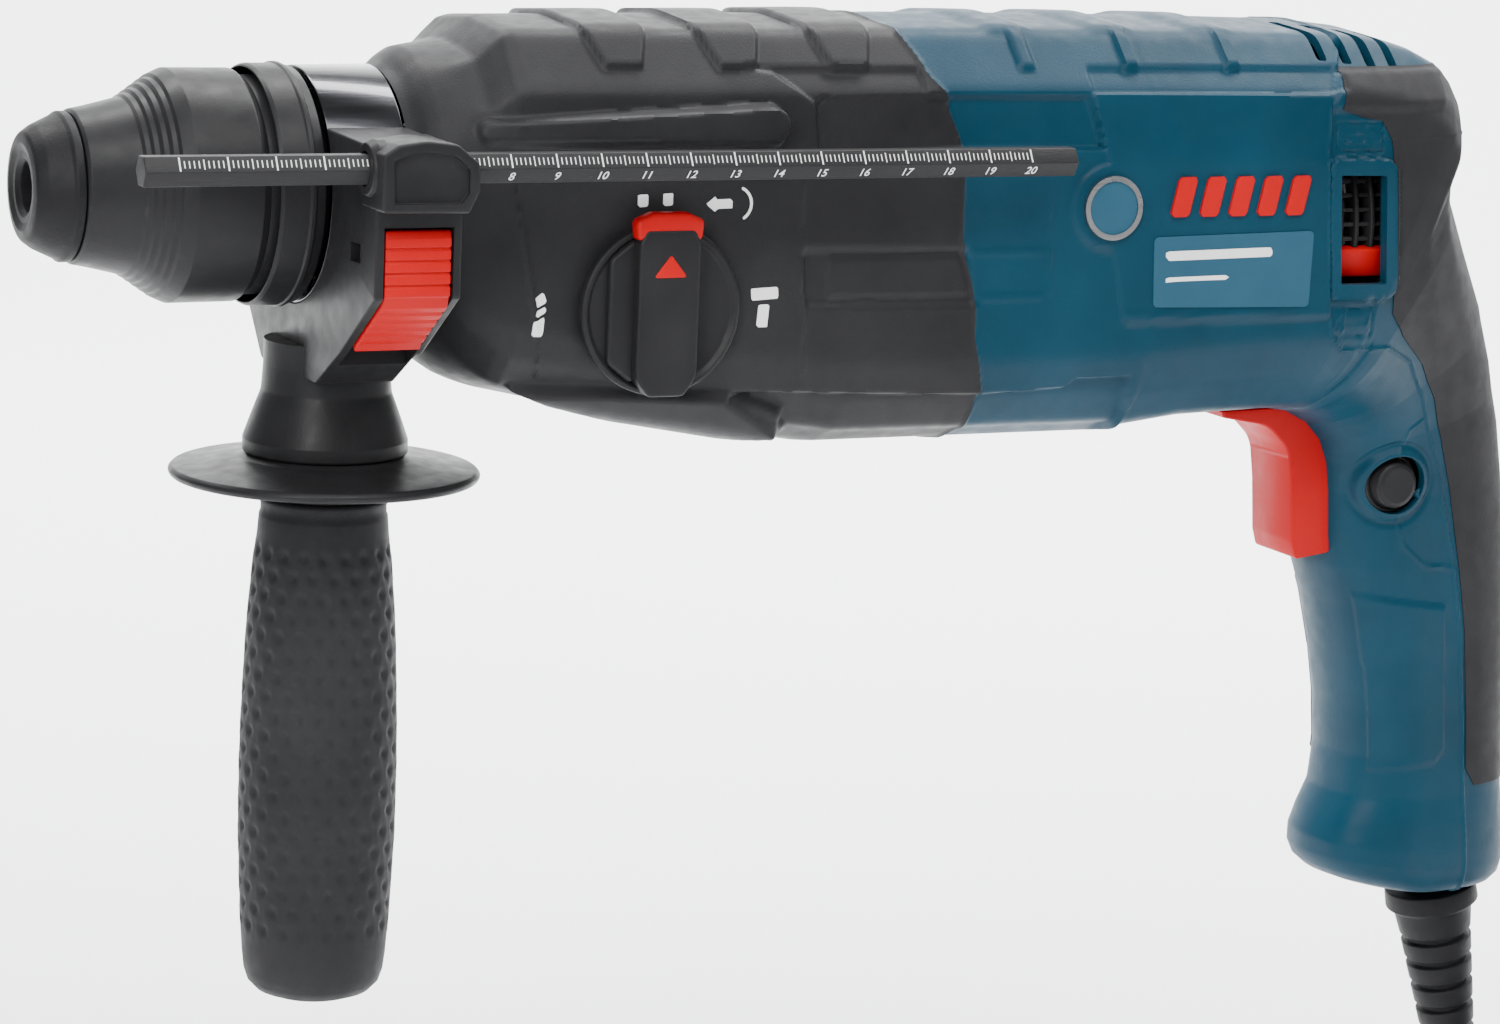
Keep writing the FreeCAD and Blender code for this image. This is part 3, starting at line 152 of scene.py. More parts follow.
def surface(name, colour, rough, grain=0.0, grain_size=0.5, metal=0.0, coat=0.0, mottle=0.12, streak=None,
            wear=0.0):
    """Colour that varies a little, uneven gloss and a fine moulded or brushed grain; sizes in mm."""
    made = bpy.data.materials.new(name)
    made.use_nodes = True
    nodes, links = made.node_tree.nodes, made.node_tree.links
    shader = nodes["Principled BSDF"]
    shader.inputs["Metallic"].default_value = metal
    shader.inputs["Coat Weight"].default_value = coat
    shader.inputs["Specular IOR Level"].default_value = 0.5 if metal else 0.15
    place = nodes.new("ShaderNodeTexCoord")
    stretch = nodes.new("ShaderNodeMapping")
    stretch.inputs["Scale"].default_value = streak or (1, 1, 1)
    links.new(place.outputs["Object"], stretch.inputs["Vector"])

    def noise(size, detail):
        node = nodes.new("ShaderNodeTexNoise")
        node.inputs["Scale"].default_value = 1000 / size
        node.inputs["Detail"].default_value = detail
        links.new(stretch.outputs["Vector"], node.inputs["Vector"])
        return node.outputs["Fac"]

    def spread(source, low, high):
        node = nodes.new("ShaderNodeMapRange")
        node.inputs["From Min"].default_value = 0.3
        node.inputs["From Max"].default_value = 0.7
        node.inputs["To Min"].default_value = low
        node.inputs["To Max"].default_value = high
        links.new(source, node.inputs["Value"])
        return node.outputs["Result"]

    broad = noise(26, 3)
    mix = nodes.new("ShaderNodeMix")
    mix.data_type = "RGBA"
    shade = [c * (1 - mottle) for c in colour]
    light = [min(1, c * (1 + mottle) + 0.002 * (1 - metal)) for c in colour]
    mix.inputs["A"].default_value = (*shade, 1)
    mix.inputs["B"].default_value = (*light, 1)
    links.new(spread(broad, 0, 1), mix.inputs["Factor"])
    tint = mix.outputs["Result"]
    if wear:
        # rubbed edges and corners are a little paler than the faces
        bent = nodes.new("ShaderNodeNewGeometry")
        edge = nodes.new("ShaderNodeMapRange")
        edge.inputs["From Min"].default_value = 0.53
        edge.inputs["From Max"].default_value = 0.62
        edge.inputs["To Max"].default_value = wear
        links.new(bent.outputs["Pointiness"], edge.inputs["Value"])
        rub = nodes.new("ShaderNodeMix")
        rub.data_type = "RGBA"
        rub.inputs["B"].default_value = (*[min(1, c * 2.2 + 0.05) for c in colour], 1)
        links.new(tint, rub.inputs["A"])
        links.new(edge.outputs["Result"], rub.inputs["Factor"])
        tint = rub.outputs["Result"]
    links.new(tint, shader.inputs["Base Color"])
    fine = noise(grain_size, 2)
    links.new(spread(noise(4, 4), rough - 0.05, rough + 0.07), shader.inputs["Roughness"])
    if grain:
        bump = nodes.new("ShaderNodeBump")
        bump.inputs["Strength"].default_value = grain
        bump.inputs["Distance"].default_value = 0.0002
        links.new(fine, bump.inputs["Height"])
        links.new(bump.outputs["Normal"], shader.inputs["Normal"])
    return made


# name: colour, roughness, strength and size of the grain, and the rest
LOOKS = {
    "case_black": ((0.016, 0.016, 0.0175), 0.46, 0.25, 0.45, dict(wear=0.06)),
    "case_blue": ((0.003, 0.034, 0.060), 0.46, 0.25, 0.45, dict(wear=0.03)),
    "soft_black": ((0.017, 0.017, 0.019), 0.6, 0.3, 0.35, {}),
    "satin_black": ((0.014, 0.014, 0.015), 0.4, 0.15, 0.4, dict(wear=0.1)),
    "rubber": ((0.008, 0.008, 0.009), 0.5, 0.3, 0.6, {}),
    "bright_red": ((0.44, 0.0004, 0.002), 0.46, 0.12, 0.5, dict(mottle=0.04)),
    "white_print": ((0.82, 0.82, 0.82), 0.5, 0.1, 0.4, dict(mottle=0.03)),
    "steel": ((0.42, 0.42, 0.43), 0.28, 0.2, 0.35, dict(metal=1, streak=(0.2, 1, 1))),
    "dark_steel": ((0.045, 0.045, 0.05), 0.22, 0.1, 0.5, dict(metal=1, coat=0.4, streak=(0.1, 1, 1))),
    "aluminium": ((0.62, 0.62, 0.63), 0.45, 0.5, 0.7, dict(metal=1)),
    "copper": ((0.66, 0.28, 0.13), 0.32, 0.6, 0.5, dict(metal=1, streak=(1, 6, 1))),
    "brass": ((0.72, 0.53, 0.22), 0.3, 0.2, 0.4, dict(metal=1)),
    "nylon": ((0.5, 0.48, 0.43), 0.5, 0.25, 0.5, {}),
    "carbon": ((0.02, 0.02, 0.02), 0.6, 0.5, 0.3, {}),
    "rod_black": ((0.02, 0.02, 0.021), 0.42, 0.3, 0.3, dict(streak=(0.25, 1, 1))),
    "label_blue": ((0.02, 0.075, 0.12), 0.4, 0.15, 0.4, dict(mottle=0.05)),
}
SLOT_LOOKS = {"rubber_black": "rubber", "plastic_black": "satin_black", "plastic_red": "bright_red",
              "steel_dark": "dark_steel", "grey_plastic": "rod_black"}


def look(name):
    if name not in MADE:
        colour, rough, grain, grain_size, rest = LOOKS[name]
        MADE[name] = surface(name, colour, rough, grain, grain_size, **rest)
    return MADE[name]


def slot_look(slot):
    return look(SLOT_LOOKS.get(slot, slot))


def dress_nodes():
    """Gives every carried-over node its own material by its record slot."""
    for entry in frame["record"]["subparts"]:
        node = frame["nodes"][entry["node"]]
        for holder in node.material_slots:
            holder.material = slot_look(entry["material_slot"])


# ---------------------------------------------------------------- mesh helpers
def mesh_object(name, verts, faces, material, smooth=35):
    """verts in working millimetres; normals outward; edges sharper than smooth degrees stay crisp."""
    mesh = bpy.data.meshes.new(name)
    mesh.from_pydata([at(*v) for v in verts], [], faces)
    return finish_mesh(name, mesh, material, smooth)


def finish_mesh(name, mesh, material, smooth=35):
    work = bmesh.new()
    work.from_mesh(mesh)
    bmesh.ops.remove_doubles(work, verts=work.verts, dist=1e-7)
    bmesh.ops.recalc_face_normals(work, faces=work.faces)
    return linked(name, work, material, smooth, mesh)


def linked(name, work, material, smooth, mesh=None):
    """Ends an edit of a mesh and links it as a piece, smooth but for edges sharper than smooth."""
    mesh = mesh or bpy.data.meshes.new(name)
    work.to_mesh(mesh)
    work.free()
    mesh.materials.clear()
    mesh.materials.append(material)
    mesh.shade_smooth()
    mesh.set_sharp_from_angle(angle=math.radians(smooth))
    piece = bpy.data.objects.new(name, mesh)
    bpy.context.collection.objects.link(piece)
    return piece


def settle(piece, body, slot, *nodes):
    """Puts a piece on its body, in place of the CAD nodes that it shows; its slot is not used."""
    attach(piece, body)
    if nodes:
        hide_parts(*nodes)


def filleted(points, closed=True, steps=5):
    """A polyline whose corners (a, b, radius) are rounded with arcs."""
    line = []
    count = len(points)
    for i, point in enumerate(points):
        here = Vector(point[:2])
        radius = point[2] if len(point) > 2 else 0
        if not radius or (not closed and i in (0, count - 1)):
            line.append(tuple(here))
            continue
        back = Vector(points[i - 1][:2]) - here
        on = Vector(points[(i + 1) % count][:2]) - here
        half = back.angle(on) / 2
        reach = min(radius / math.tan(half), 0.48 * back.length, 0.48 * on.length)
        radius = reach * math.tan(half)
        back.normalize()
        on.normalize()
        centre = here + (back + on).normalized() * (radius / math.sin(half))
        start, end = here + back * reach - centre, here + on * reach - centre
        sweep = start.angle_signed(end)
        for k in range(steps + 1):
            spoke = start.copy()
            spoke.rotate(Matrix.Rotation(-sweep * k / steps, 2))
            line.append(tuple(centre + spoke))
    return line


def lathe(name, profile, material, origin=(0, 0, 0), axis="X", steps=128, closed=True, shape=None,
          smooth=30,
          round_steps=4):
    """Turned piece: profile of (along, radius, corner radius); shape(angle, along, radius) may bend it."""
    line = filleted(profile, closed, round_steps)
    rings = []
    for along, radius in line:
        ring = []
        for k in range(steps):
            turn = 2 * math.pi * k / steps
            r = radius + (shape(turn, along, radius) if shape else 0)
            a, b = r * math.cos(turn), r * math.sin(turn)
            spot = {"X": (along, a, b), "Z": (a, b, along), "Y": (a, along, b)}[axis]
            ring.append(tuple(o + s for o, s in zip(origin, spot)))
        rings.append(ring)
    verts = [v for ring in rings for v in ring]
    faces = []
    last = len(rings) if closed else len(rings) - 1
    for i in range(last):
        for k in range(steps):
            a, b = i * steps + k, i * steps + (k + 1) % steps
            c, d = (i + 1) % len(rings) * steps + (k + 1) % steps, (i + 1) % len(rings) * steps + k
            faces.append((a, b, c, d))
    return mesh_object(name, verts, faces, material, smooth)


def slab(name, outline, low, high, material, across="Y", bevel=0.8, smooth=40, shape=None, steps=3):
    """An outline extruded between low and high with rounded edges. across: the extruding axis."""
    def spot(a, b, c):
        return {"Y": (a, c, b), "X": (c, a, b), "Z": (a, b, c)}[across]

    work = bmesh.new()
    base = [work.verts.new(spot(a, b, low)) for a, b in outline]
    top = [work.verts.new(spot(a, b, high)) for a, b in outline]
    count = len(outline)
    work.faces.new(base)
    work.faces.new(reversed(top))
    for k in range(count):
        work.faces.new((base[k], top[k], top[(k + 1) % count], base[(k + 1) % count]))
    bmesh.ops.recalc_face_normals(work, faces=work.faces)
    if bevel:
        rim = [e for e in work.edges if len(e.link_faces) == 2
               and e.calc_face_angle(0) > math.radians(35)]
        bmesh.ops.bevel(work, geom=rim, offset=bevel, segments=steps, profile=0.5, affect="EDGES",
                        clamp_overlap=True)
    for v in work.verts:
        x, y, z = v.co
        if shape:
            x, y, z = shape(x, y, z)
        v.co = at(x, y, z)
    mesh = bpy.data.meshes.new(name)
    work.to_mesh(mesh)
    work.free()
    return finish_mesh(name, mesh, material, smooth)


def carve(piece, cutter):
    """Boolean difference with a helper piece that is then thrown away."""
    step = piece.modifiers.new("carve", "BOOLEAN")
    step.solver = "EXACT"
    step.object = cutter
    seen = piece.evaluated_get(bpy.context.evaluated_depsgraph_get())
    mesh = bpy.data.meshes.new_from_object(seen)
    piece.modifiers.clear()
    piece.data = mesh
    bpy.data.objects.remove(cutter)
    mesh.shade_smooth()
    mesh.set_sharp_from_angle(angle=math.radians(35))


# ---------------------------------------------------------------- the casings' common skin
def ramp(low, high, value):
    """Smooth step from 0 at low to 1 at high, either way round."""
    t = np.clip((np.asarray(value, float) - low) / (high - low), 0, 1)
    return t * t * (3 - 2 * t)


def band(value, half, soft):
    """1 within half of zero, fading over soft."""
    return 1 - ramp(half - soft / 2, half + soft / 2, np.abs(value))


def outline_distance(x, z, outline):
    """Signed distance to a polygon, negative inside."""
    x, z = np.asarray(x, float), np.asarray(z, float)
    best = np.full(x.shape, 1e9)
    inside = np.zeros(x.shape, bool)
    for (ax, az), (bx, bz) in zip(outline, outline[1:] + outline[:1]):
        ex, ez = bx - ax, bz - az
        t = np.clip(((x - ax) * ex + (z - az) * ez) / (ex * ex + ez * ez), 0, 1)
        best = np.minimum(best, np.hypot(x - ax - t * ex, z - az - t * ez))
        if az != bz:
            crossing = (az > z) != (bz > z)
            inside ^= crossing & (x < ax + (z - az) * ex / ez)
    return np.where(inside, -best, best)


def raised(x, z, outline, soft=1.2):
    """1 inside an outline, fading to 0 across its edge."""
    return ramp(soft / 2, -soft / 2, outline_distance(x, z, outline))


def capsule(x, z, start, end, r_start, r_end):
    """Signed distance to a tapered stroke."""
    ex, ez = end[0] - start[0], end[1] - start[1]
    t = np.clip(((x - start[0]) * ex + (z - start[1]) * ez) / (ex * ex + ez * ez), 0, 1)
    return np.hypot(x - start[0] - t * ex, z - start[1] - t * ez) - (r_start + (r_end - r_start) * t)


# outer and inner outlines of the rear, and of the handle, seen from the side
BACK = [(285, 35.9), (297, 35.7), (305, 35.2), (312.8, 34.4), (322, 32.2), (328.4, 29.5), (333, 25.6),
        (336.2, 20.9), (334.6, 16.5), (333.4, 12.4), (333.7, 6), (335.3, 0.1), (343, -14), (351.7, -28.9),
        (357.6, -43), (362.4, -58.5), (365.9, -75)]
FRONT = [(285, -54.8), (294, -55.1), (301, -56), (306.5, -58.8), (310.3, -63), (312.3, -68.5), (313, -75)]
PIVOT = (285, -75)


def reach(outline, angle):
    """Where a ray from the pivot, so far round from upright, meets an outline."""
    dx, dz = math.sin(angle), math.cos(angle)
    for (ax, az), (bx, bz) in zip(outline, outline[1:]):
        ex, ez = bx - ax, bz - az
        across = dx * ez - dz * ex
        if abs(across) < 1e-9:
            continue
        far = ((ax - PIVOT[0]) * ez - (az - PIVOT[1]) * ex) / across
        share = ((ax - PIVOT[0]) * dz - (az - PIVOT[1]) * dx) / across
        if far > 0 and -1e-6 <= share <= 1 + 1e-6:
            return far
    raise ValueError(f"no crossing at {math.degrees(angle)}")


# half sections from the outer middle to the inner middle: (width share, height share)
CASE_HALF = [(0, 1), (0.60, 0.955), (0.80, 0.745), (0.92, 0.62), (0.985, 0.2), (1, -0.62), (0.93, -0.76),
             (0.72, -0.93), (0, -1)]
GRIP_HALF = [(0, 1), (0.52, 0.94), (0.80, 0.74), (0.94, 0.48), (1, 0.2), (1, -0.35), (0.92, -0.64),
             (0.60, -0.92), (0, -1)]
HALF_STEPS = [20, 12, 9, 28, 54, 12, 16, 16]

# along the case: place, top, bottom, half width, squareness
CASE = [
    (75.6, 24.6, -24.6, 24.6, 0), (77.2, 25.6, -26.4, 25.6, 0), (79.2, 27.6, -29.4, 27.4, 0),
    (81.2, 28.9, -32.4, 28.6, 0.05), (84, 29.4, -35.8, 29.8, 0.2), (88, 30, -39.2, 30.8, 0.5),
    (91, 30.6, -41.2, 31.4, 0.7), (94, 33, -42.6, 31.9, 0.9), (96.8, 35.2, -43.6, 32.4, 1),
    (99, 35.8, -44.3, 32.6, 1), (121, 35.9, -49.2, 33.6, 1), (155, 36.1, -55.6, 34.8, 1),
    (175, 36.4, -58.8, 35.9, 1), (203, 36.6, -58.8, 37.1, 1), (245, 36.4, -58.8, 38.2, 1),
    (246.5, 36.4, -57.6, 38.3, 1), (262, 36.2, -55.6, 38.4, 1), (285, 35.9, -54.8, 38.4, 1),
]
# down the handle: place, front, back, half width
GRIP = [
    (-75, 313, 365.9, 18.7), (-85, 313.6, 367.8, 18.3), (-93, 314.6, 368.8, 18), (-103, 318.4, 369.9, 17.8),
    (-116, 321.8, 370.6, 17.4), (-128, 324, 371.1, 17.2), (-140, 325.1, 371.7, 17.2),
    (-150, 324.2, 372.7, 17.6),
    (-156, 321.4, 373.6, 18.3), (-161, 319.6, 374.3, 18.7), (-165, 319.6, 374.5, 18.7),
    (-168, 321, 373.8, 18),
    (-170, 323.5, 372, 16.5), (-171, 327, 369, 14),
]


def between(table, place):
    """Smooth values between the rows of a table whose first column rises or falls."""
    rising = table if table[-1][0] > table[0][0] else table[::-1]
    places = [row[0] for row in rising]
    return [float(np.interp(place, places, [row[k] for row in rising])) for k in range(1, len(table[0]))]


def half_ring(half):
    """Evenly stepped points along a half section, without the last one."""
    spots = []
    for (u, v), (un, vn), steps in zip(half, half[1:], HALF_STEPS):
        spots += [(u + (un - u) * k / steps, v + (vn - v) * k / steps) for k in range(steps)]
    return spots


def full_ring(half, softness):
    """A closed section from its half, its corners softened a given number of times."""
    spots = half_ring(half) + [half[-1]]
    ring = np.array(spots + [(-u, v) for u, v in spots[-2:0:-1]])
    for _ in range(softness):
        ring = 0.5 * ring + 0.25 * (np.roll(ring, 1, 0) + np.roll(ring, -1, 0))
    return ring


def skin_rings():
    """Points of the whole casing's skin, ring by ring."""
    pace = 0.64
    case_ring, grip_ring = full_ring(CASE_HALF, 9), full_ring(GRIP_HALF, 60)
    rings = []
    for x in np.arange(75.6, 285, pace):
        top, bottom, half, square = between(CASE, x)
        u, v = case_ring.T
        z = np.where(v > 0, v * top, -v * bottom)
        y = u * half
        angle = np.arctan2(u, v)
        round_z = np.where(v > 0, top, -bottom) * np.cos(angle)
        rings.append(np.stack([np.full(len(u), x), y * square + half * np.sin(angle) * (1 - square),
                               z * square + round_z * (1 - square)], 1))
    widths = [(0, 38.4), (14, 38.3), (24, 37.4), (34, 35), (45, 30.5), (58, 25), (72, 21), (90, 18.7)]
    for degrees in np.arange(0, 90, 0.5 * pace):
        angle = math.radians(degrees)
        low, high = reach(FRONT, angle), reach(BACK, angle)
        blend = float(ramp(0, 75, degrees))
        u, v = ((1 - blend) * case_ring + blend * grip_ring).T
        half = float(np.interp(degrees, *zip(*widths)))
        share = (1 - blend) * 35.9 / (35.9 + 54.8) + blend * 0.5
        middle = high - share * (high - low)
        out = middle + np.where(v > 0, v * (high - middle), v * (middle - low))
        rings.append(np.stack([PIVOT[0] + out * math.sin(angle), u * half,
                               PIVOT[1] + out * math.cos(angle)], 1))
    heights = list(np.arange(-75, -165, -1.1 * pace)) + [-165, -166.5, -168, -169, -170, -170.6, -171]
    for z in heights:
        front, back, half = between(GRIP, z)
        u, v = grip_ring.T
        x = (front + back) / 2 + v * (back - front) / 2
        tilt = -3.4 * ramp(322, 350, x) * ramp(-150, -168, z)
        rings.append(np.stack([x, u * half, z + tilt], 1))
    return np.array(rings)


def seam_at(z):
    """The wavy joint between the black gear case and the blue motor case."""
    return (198.4 - 3 * ramp(10, 20, z) - 4.4 * ramp(20, 27, z) - 4 * ramp(26, 37, z)
            + 4 * ramp(-6, -24, z) + 4.4 * ramp(-28, -50, z))


# outlines on the sides of the casings, as (X, Z)
REAR_LINE = [(298.5, 70), (300.5, 34), (295.4, 27.2), (291.2, 19.5), (289.9, 8.5), (291, -10),
             (292.7, -27.5),
             (294.2, -33.4), (297.6, -36.2), (312.2, -36.6), (321.7, -41), (329.6, -50.5), (334.4, -60),
             (339.8, -72), (346.2, -94), (349.2, -108), (352.2, -130), (355.2, -166), (356, -200),
             (420, -200),
             (420, 70)]
SOFT_LINE = [(296.2, 27.2), (293.8, 18.4), (300.1, 16.4), (305, 15.8), (307.6, 11), (309.4, -10),
             (311.4, -28.5),
             (316.4, -34.2), (325.9, -41.7), (333, -50.6), (337.4, -60), (342.6, -74), (347.9, -95),
             (350.7, -109), (353.2, -130), (354.2, -143), (357, -147.5), (420, -147.5), (420, 27.2)]
WINDOW = [(293.0, 3.8), (305.2, 3.6), (307.2, -21.2), (294.6, -20.9)]
# the badge, and the lock-on button with its hole in the skin
BADGE = (234.7, -2.8)
LOCK_SPOT, LOCK_RADIUS = (327, -72), 7.1
RAISED_BLOCK = [(163.9, 19.2), (166, 21.4), (229.2, 21.3), (232.6, 10.2), (196, 10.2), (164.3, 8.4)]
SHOULDER = [(149, 27), (155.4, 26.4), (164.4, 19.4), (167, 21.6), (190, 21.4), (190, 27)]
SIDE_STRIP = [(161, -11.3), (200.6, -11.8), (203, -23.4), (162.4, -23.1)]
LABEL_PANEL = [(230.3, 21.8), (291.4, 21.6), (290.1, 8.5), (292.6, -28.4), (240, -28.6), (238.7, -27.4),
               (236.6, -15.9), (234, -8), (234, 6.9), (232.1, 11.7)]
LOWER_POCKET = [(99, -40.2), (118, -40.6), (146, -42), (160.4, -47.6), (161.2, -52.4), (150, -52.6),
                (125, -48), (108, -43.4)]
LEDGE = [(146, -42.6), (161.5, -42.8), (206, -44.4), (226.6, -43.4), (229.6, -41.2), (242.8, -41),
         (244.8, -50.3), (243.6, -62), (172, -62), (162.5, -52)]
GRIP_INLAY = [(317.5, -98.6), (344.4, -102.6), (347.4, -138), (345, -141), (329, -143), (323, -140)]
HANDLE_SPLITS = [[(331.4, -56), (328.1, -58.4), (326.6, -64.4)],
                 [(328.6, -80.2), (331.1, -87), (337.3, -92.2), (346, -93.2)]]


def vent_distance(x, y, z):
    """Distance to the upright cooling slots on the shoulders of the rear end."""
    near = np.full(x.shape, 50.0)
    for k in range(4):
        middle = 292.8 + 6.5 * k
        slot = np.maximum(np.abs(x - middle) - 1.35, np.abs(z - 31.0 + 0.1 * (x - 303)) - 3.5)
        near = np.minimum(near, slot)
    return np.maximum(near, 6 - np.abs(y))


def stroke(x, z, line):
    """Distance to an open polyline."""
    return np.minimum.reduce([capsule(x, z, a, b, 0, 0) for a, b in zip(line, line[1:])])


def relief(x, y, z):
    """How far the skin stands out from its plain sections, in millimetres."""
    side = np.abs(y) > 12
    knob_side = y < 0
    d = np.zeros(x.shape)
    # pads along the ridge of the gear case, wide hollows between them
    ridge = ramp(26.4, 27.1, z)
    crown = ramp(33.6, 35, z)
    for middle in (121.4, 147.3, 173.3):
        half = 4.2 + 0.42 * np.clip(z - 27, 0, 8)
        d -= 1.15 * ridge * band(np.abs(x - middle) - half + 4, 4, 0.9) * (x < seam_at(z) - 1)
    # narrow upright grooves on the motor case's shoulders, shallow dips across its crown
    for middle in (216.0, 242.0, 268.2):
        d -= 1.0 * ridge * band(x - middle, 1.7, 0.6) * (1 - crown)
        d -= 0.9 * band(x - middle + 1, 5.0, 5.0) * crown
    # long finger pocket, deepest at its rear end, in front of a raised shoulder
    pocket = capsule(x, z, (91, 13.7), (151.8, 15.1), 3.1, 4.9)
    depth = 1.0 + 5.8 * ramp(84, 150, x)
    d -= side * depth * ramp(0.3, -1.9, pocket)
    d += side * 0.9 * raised(x, z, SHOULDER, 0.9)
    d += side * 1.5 * raised(x, z, RAISED_BLOCK, 1.3)
    # side panel round the knob, its strip, the pocket and ledge below
    for line in (96.9 - 0.178 * (z + 2.3), 160.7 - 0.048 * (z + 1.1)):
        d -= side * 0.5 * band(x - line, 0.35, 0.6) * ramp(5, 4, z) * ramp(-39, -38, z)
    d += side * 0.9 * raised(x, z, SIDE_STRIP, 1.1)
    d -= side * 0.6 * band(z + 17.4, 4.4, 0.7) * ramp(167, 167.8, x) * ramp(seam_at(z) - 1,
                                                                            seam_at(z) - 2, x)
    lower = ramp(14, 24, np.abs(y))
    d += side * 2.0 * raised(x, z, LEDGE, 1.4) * lower
    d -= side * 2.6 * raised(x, z, LOWER_POCKET, 1.8)
    # fine lines on the motor case
    fine = np.minimum(np.abs(z + 12.6) + 50 * (x > 219.4), np.abs(z + 22) + 50 * (x > 218.5))
    upright = np.abs(x - 219.4 + 0.06 * z) + 50 * ((z > 8) | (z < -22))
    d -= side * 0.35 * band(np.minimum(fine, upright), 0.3, 0.5) * (x > seam_at(z) + 1)
    # shallow panel for the label, with a round bay for the badge; bevel above it
    panel = np.minimum(outline_distance(x, z, LABEL_PANEL), np.hypot(x - BADGE[0], z - BADGE[1]) - 9.6)
    d -= side * 0.8 * ramp(0.3, -0.3, panel)
    d -= side * 0.35 * band(z + 26.9, 0.3, 0.5) * (x > 240) * (x < 291)
    d += side * 0.7 * band(z - 24.6, 2.6, 0.6) * ramp(230.4, 231.2, x) * ramp(296.5, 295.4, x)
    # rear cover: sunk frame of the window, arrows above and below it, hollow under the vents
    rear = ramp(-0.1, -0.9, outline_distance(x, z, REAR_LINE))
    d -= side * 1.5 * ramp(3.9, 3.3, outline_distance(x, z, WINDOW)) * rear
    for low, high, way in ((8.6, 15.4, 1), (-33.2, -26.4, -1)):
        mid = (low + high) / 2
        box = np.maximum(np.abs(x - 299) - 6.2, np.abs(z - mid) - 3.2)
        across = way * (x - 299)
        shaft = np.maximum(np.abs(z - mid) - 0.9, np.abs(across + 1.2) - 3.6)
        head = np.maximum(np.abs(z - mid) - 0.75 * np.maximum(5.4 - across, 0), 2.2 - across)
        d -= side * rear * 0.3 * band(np.minimum(shaft, head), 0.25, 0.4)
        d += side * rear * 0.4 * band(box, 0.3, 0.5)
    hollow = ramp(26.8, 25.2, z) * ramp(17.0, 19.4, z) * rear
    d -= 1.2 * hollow * ramp(332, 322, x)
    # lock-on button's round bay, joints and inlay of the grip
    bay = np.hypot(x - LOCK_SPOT[0], z - LOCK_SPOT[1])
    d -= knob_side * side * 1.2 * ramp(9.3, 7.6, bay)
    d += knob_side * side * 0.35 * band(bay - 9.9, 0.6, 0.7)
    for line in HANDLE_SPLITS:
        d -= side * 0.4 * band(stroke(x, z, line), 0.3, 0.5)
    d -= side * 0.6 * ramp(0.4, -0.4, outline_distance(x, z, GRIP_INLAY))
    # fine grooves where the casings meet
    d -= 0.5 * band(x - seam_at(z), 0.3, 0.7) * (x < 230)
    d -= 0.5 * band(outline_distance(x, z, REAR_LINE), 0.3, 0.7)
    return d


def ring_normals(points):
    along = np.gradient(points, axis=0)
    around = (np.roll(points, -1, 1) - np.roll(points, 1, 1)) / 2
    normal = np.cross(around, along)
    normal /= np.maximum(np.linalg.norm(normal, axis=2, keepdims=True), 1e-9)
    return normal


def divide(verts, faces, field):
    """Splits faces along the zero line of field(x, y, z): the faces below it and those above it."""
    value = list(field(*np.array(verts).T))
    verts = list(map(tuple, verts))
    below, above, cuts = [], [], {}

    def crossing(a, b):
        key = (min(a, b), max(a, b))
        if key not in cuts:
            share = value[a] / (value[a] - value[b])
            cuts[key] = len(verts)
            verts.append(tuple(p + (q - p) * share for p, q in zip(verts[a], verts[b])))
            value.append(0.0)
        return cuts[key]

    for face in faces:
        signs = [value[i] < 0 for i in face]
        if all(signs):
            below.append(face)
        elif not any(signs):
            above.append(face)
        else:
            parts = {True: [], False: []}
            for a, b in zip(face, face[1:] + face[:1]):
                parts[value[a] < 0].append(a)
                if (value[a] < 0) != (value[b] < 0):
                    middle = crossing(a, b)
                    parts[True].append(middle)
                    parts[False].append(middle)
            below.append(tuple(parts[True]))
            above.append(tuple(parts[False]))
    return verts, below, above


def kept(verts, faces):
    """Only the points that the faces use."""
    used = sorted({i for face in faces for i in face})
    place = {old: new for new, old in enumerate(used)}
    return [verts[i] for i in used], [tuple(place[i] for i in face) for face in faces]


def skin_mesh(spots, faces, gap):
    """An edit of a mesh with these faces, without doubled corners."""
    work = bmesh.new()
    made = [work.verts.new(spot) for spot in spots]
    for face in faces:
        corners = [made[i] for i in dict.fromkeys(face)]
        if len(corners) > 2:
            work.faces.new(corners)
    bmesh.ops.remove_doubles(work, verts=work.verts, dist=gap)
    return work


def edges_in(work, offset):
    """Turns the free edges of a skin inwards by offset(vertex), so that it shows a thickness."""
    rim = [e for e in work.edges if len(e.link_faces) == 1]
    inner = {}
    for edge in rim:
        for v in edge.verts:
            if v not in inner:
                inner[v] = work.verts.new(v.co + offset(v))
    for edge in rim:
        a, b = edge.link_loops[0].vert, edge.link_loops[0].link_loop_next.vert
        work.faces.new((b, a, inner[a], inner[b]))


def shell_piece(name, node, slot, verts, faces, depth=1.6, lift=0.0):
    """A casing made of a part of the common skin."""
    verts, faces = kept(verts, faces)
    work = skin_mesh(verts, faces, 0.02)
    work.normal_update()
    if lift:
        for v in work.verts:
            v.co += v.normal * lift
    edges_in(work, lambda v: -v.normal * depth)
    for v in work.verts:
        v.co = at(*v.co)
    settle(linked(name, work, slot_look(slot), 50), "housing", slot, node)


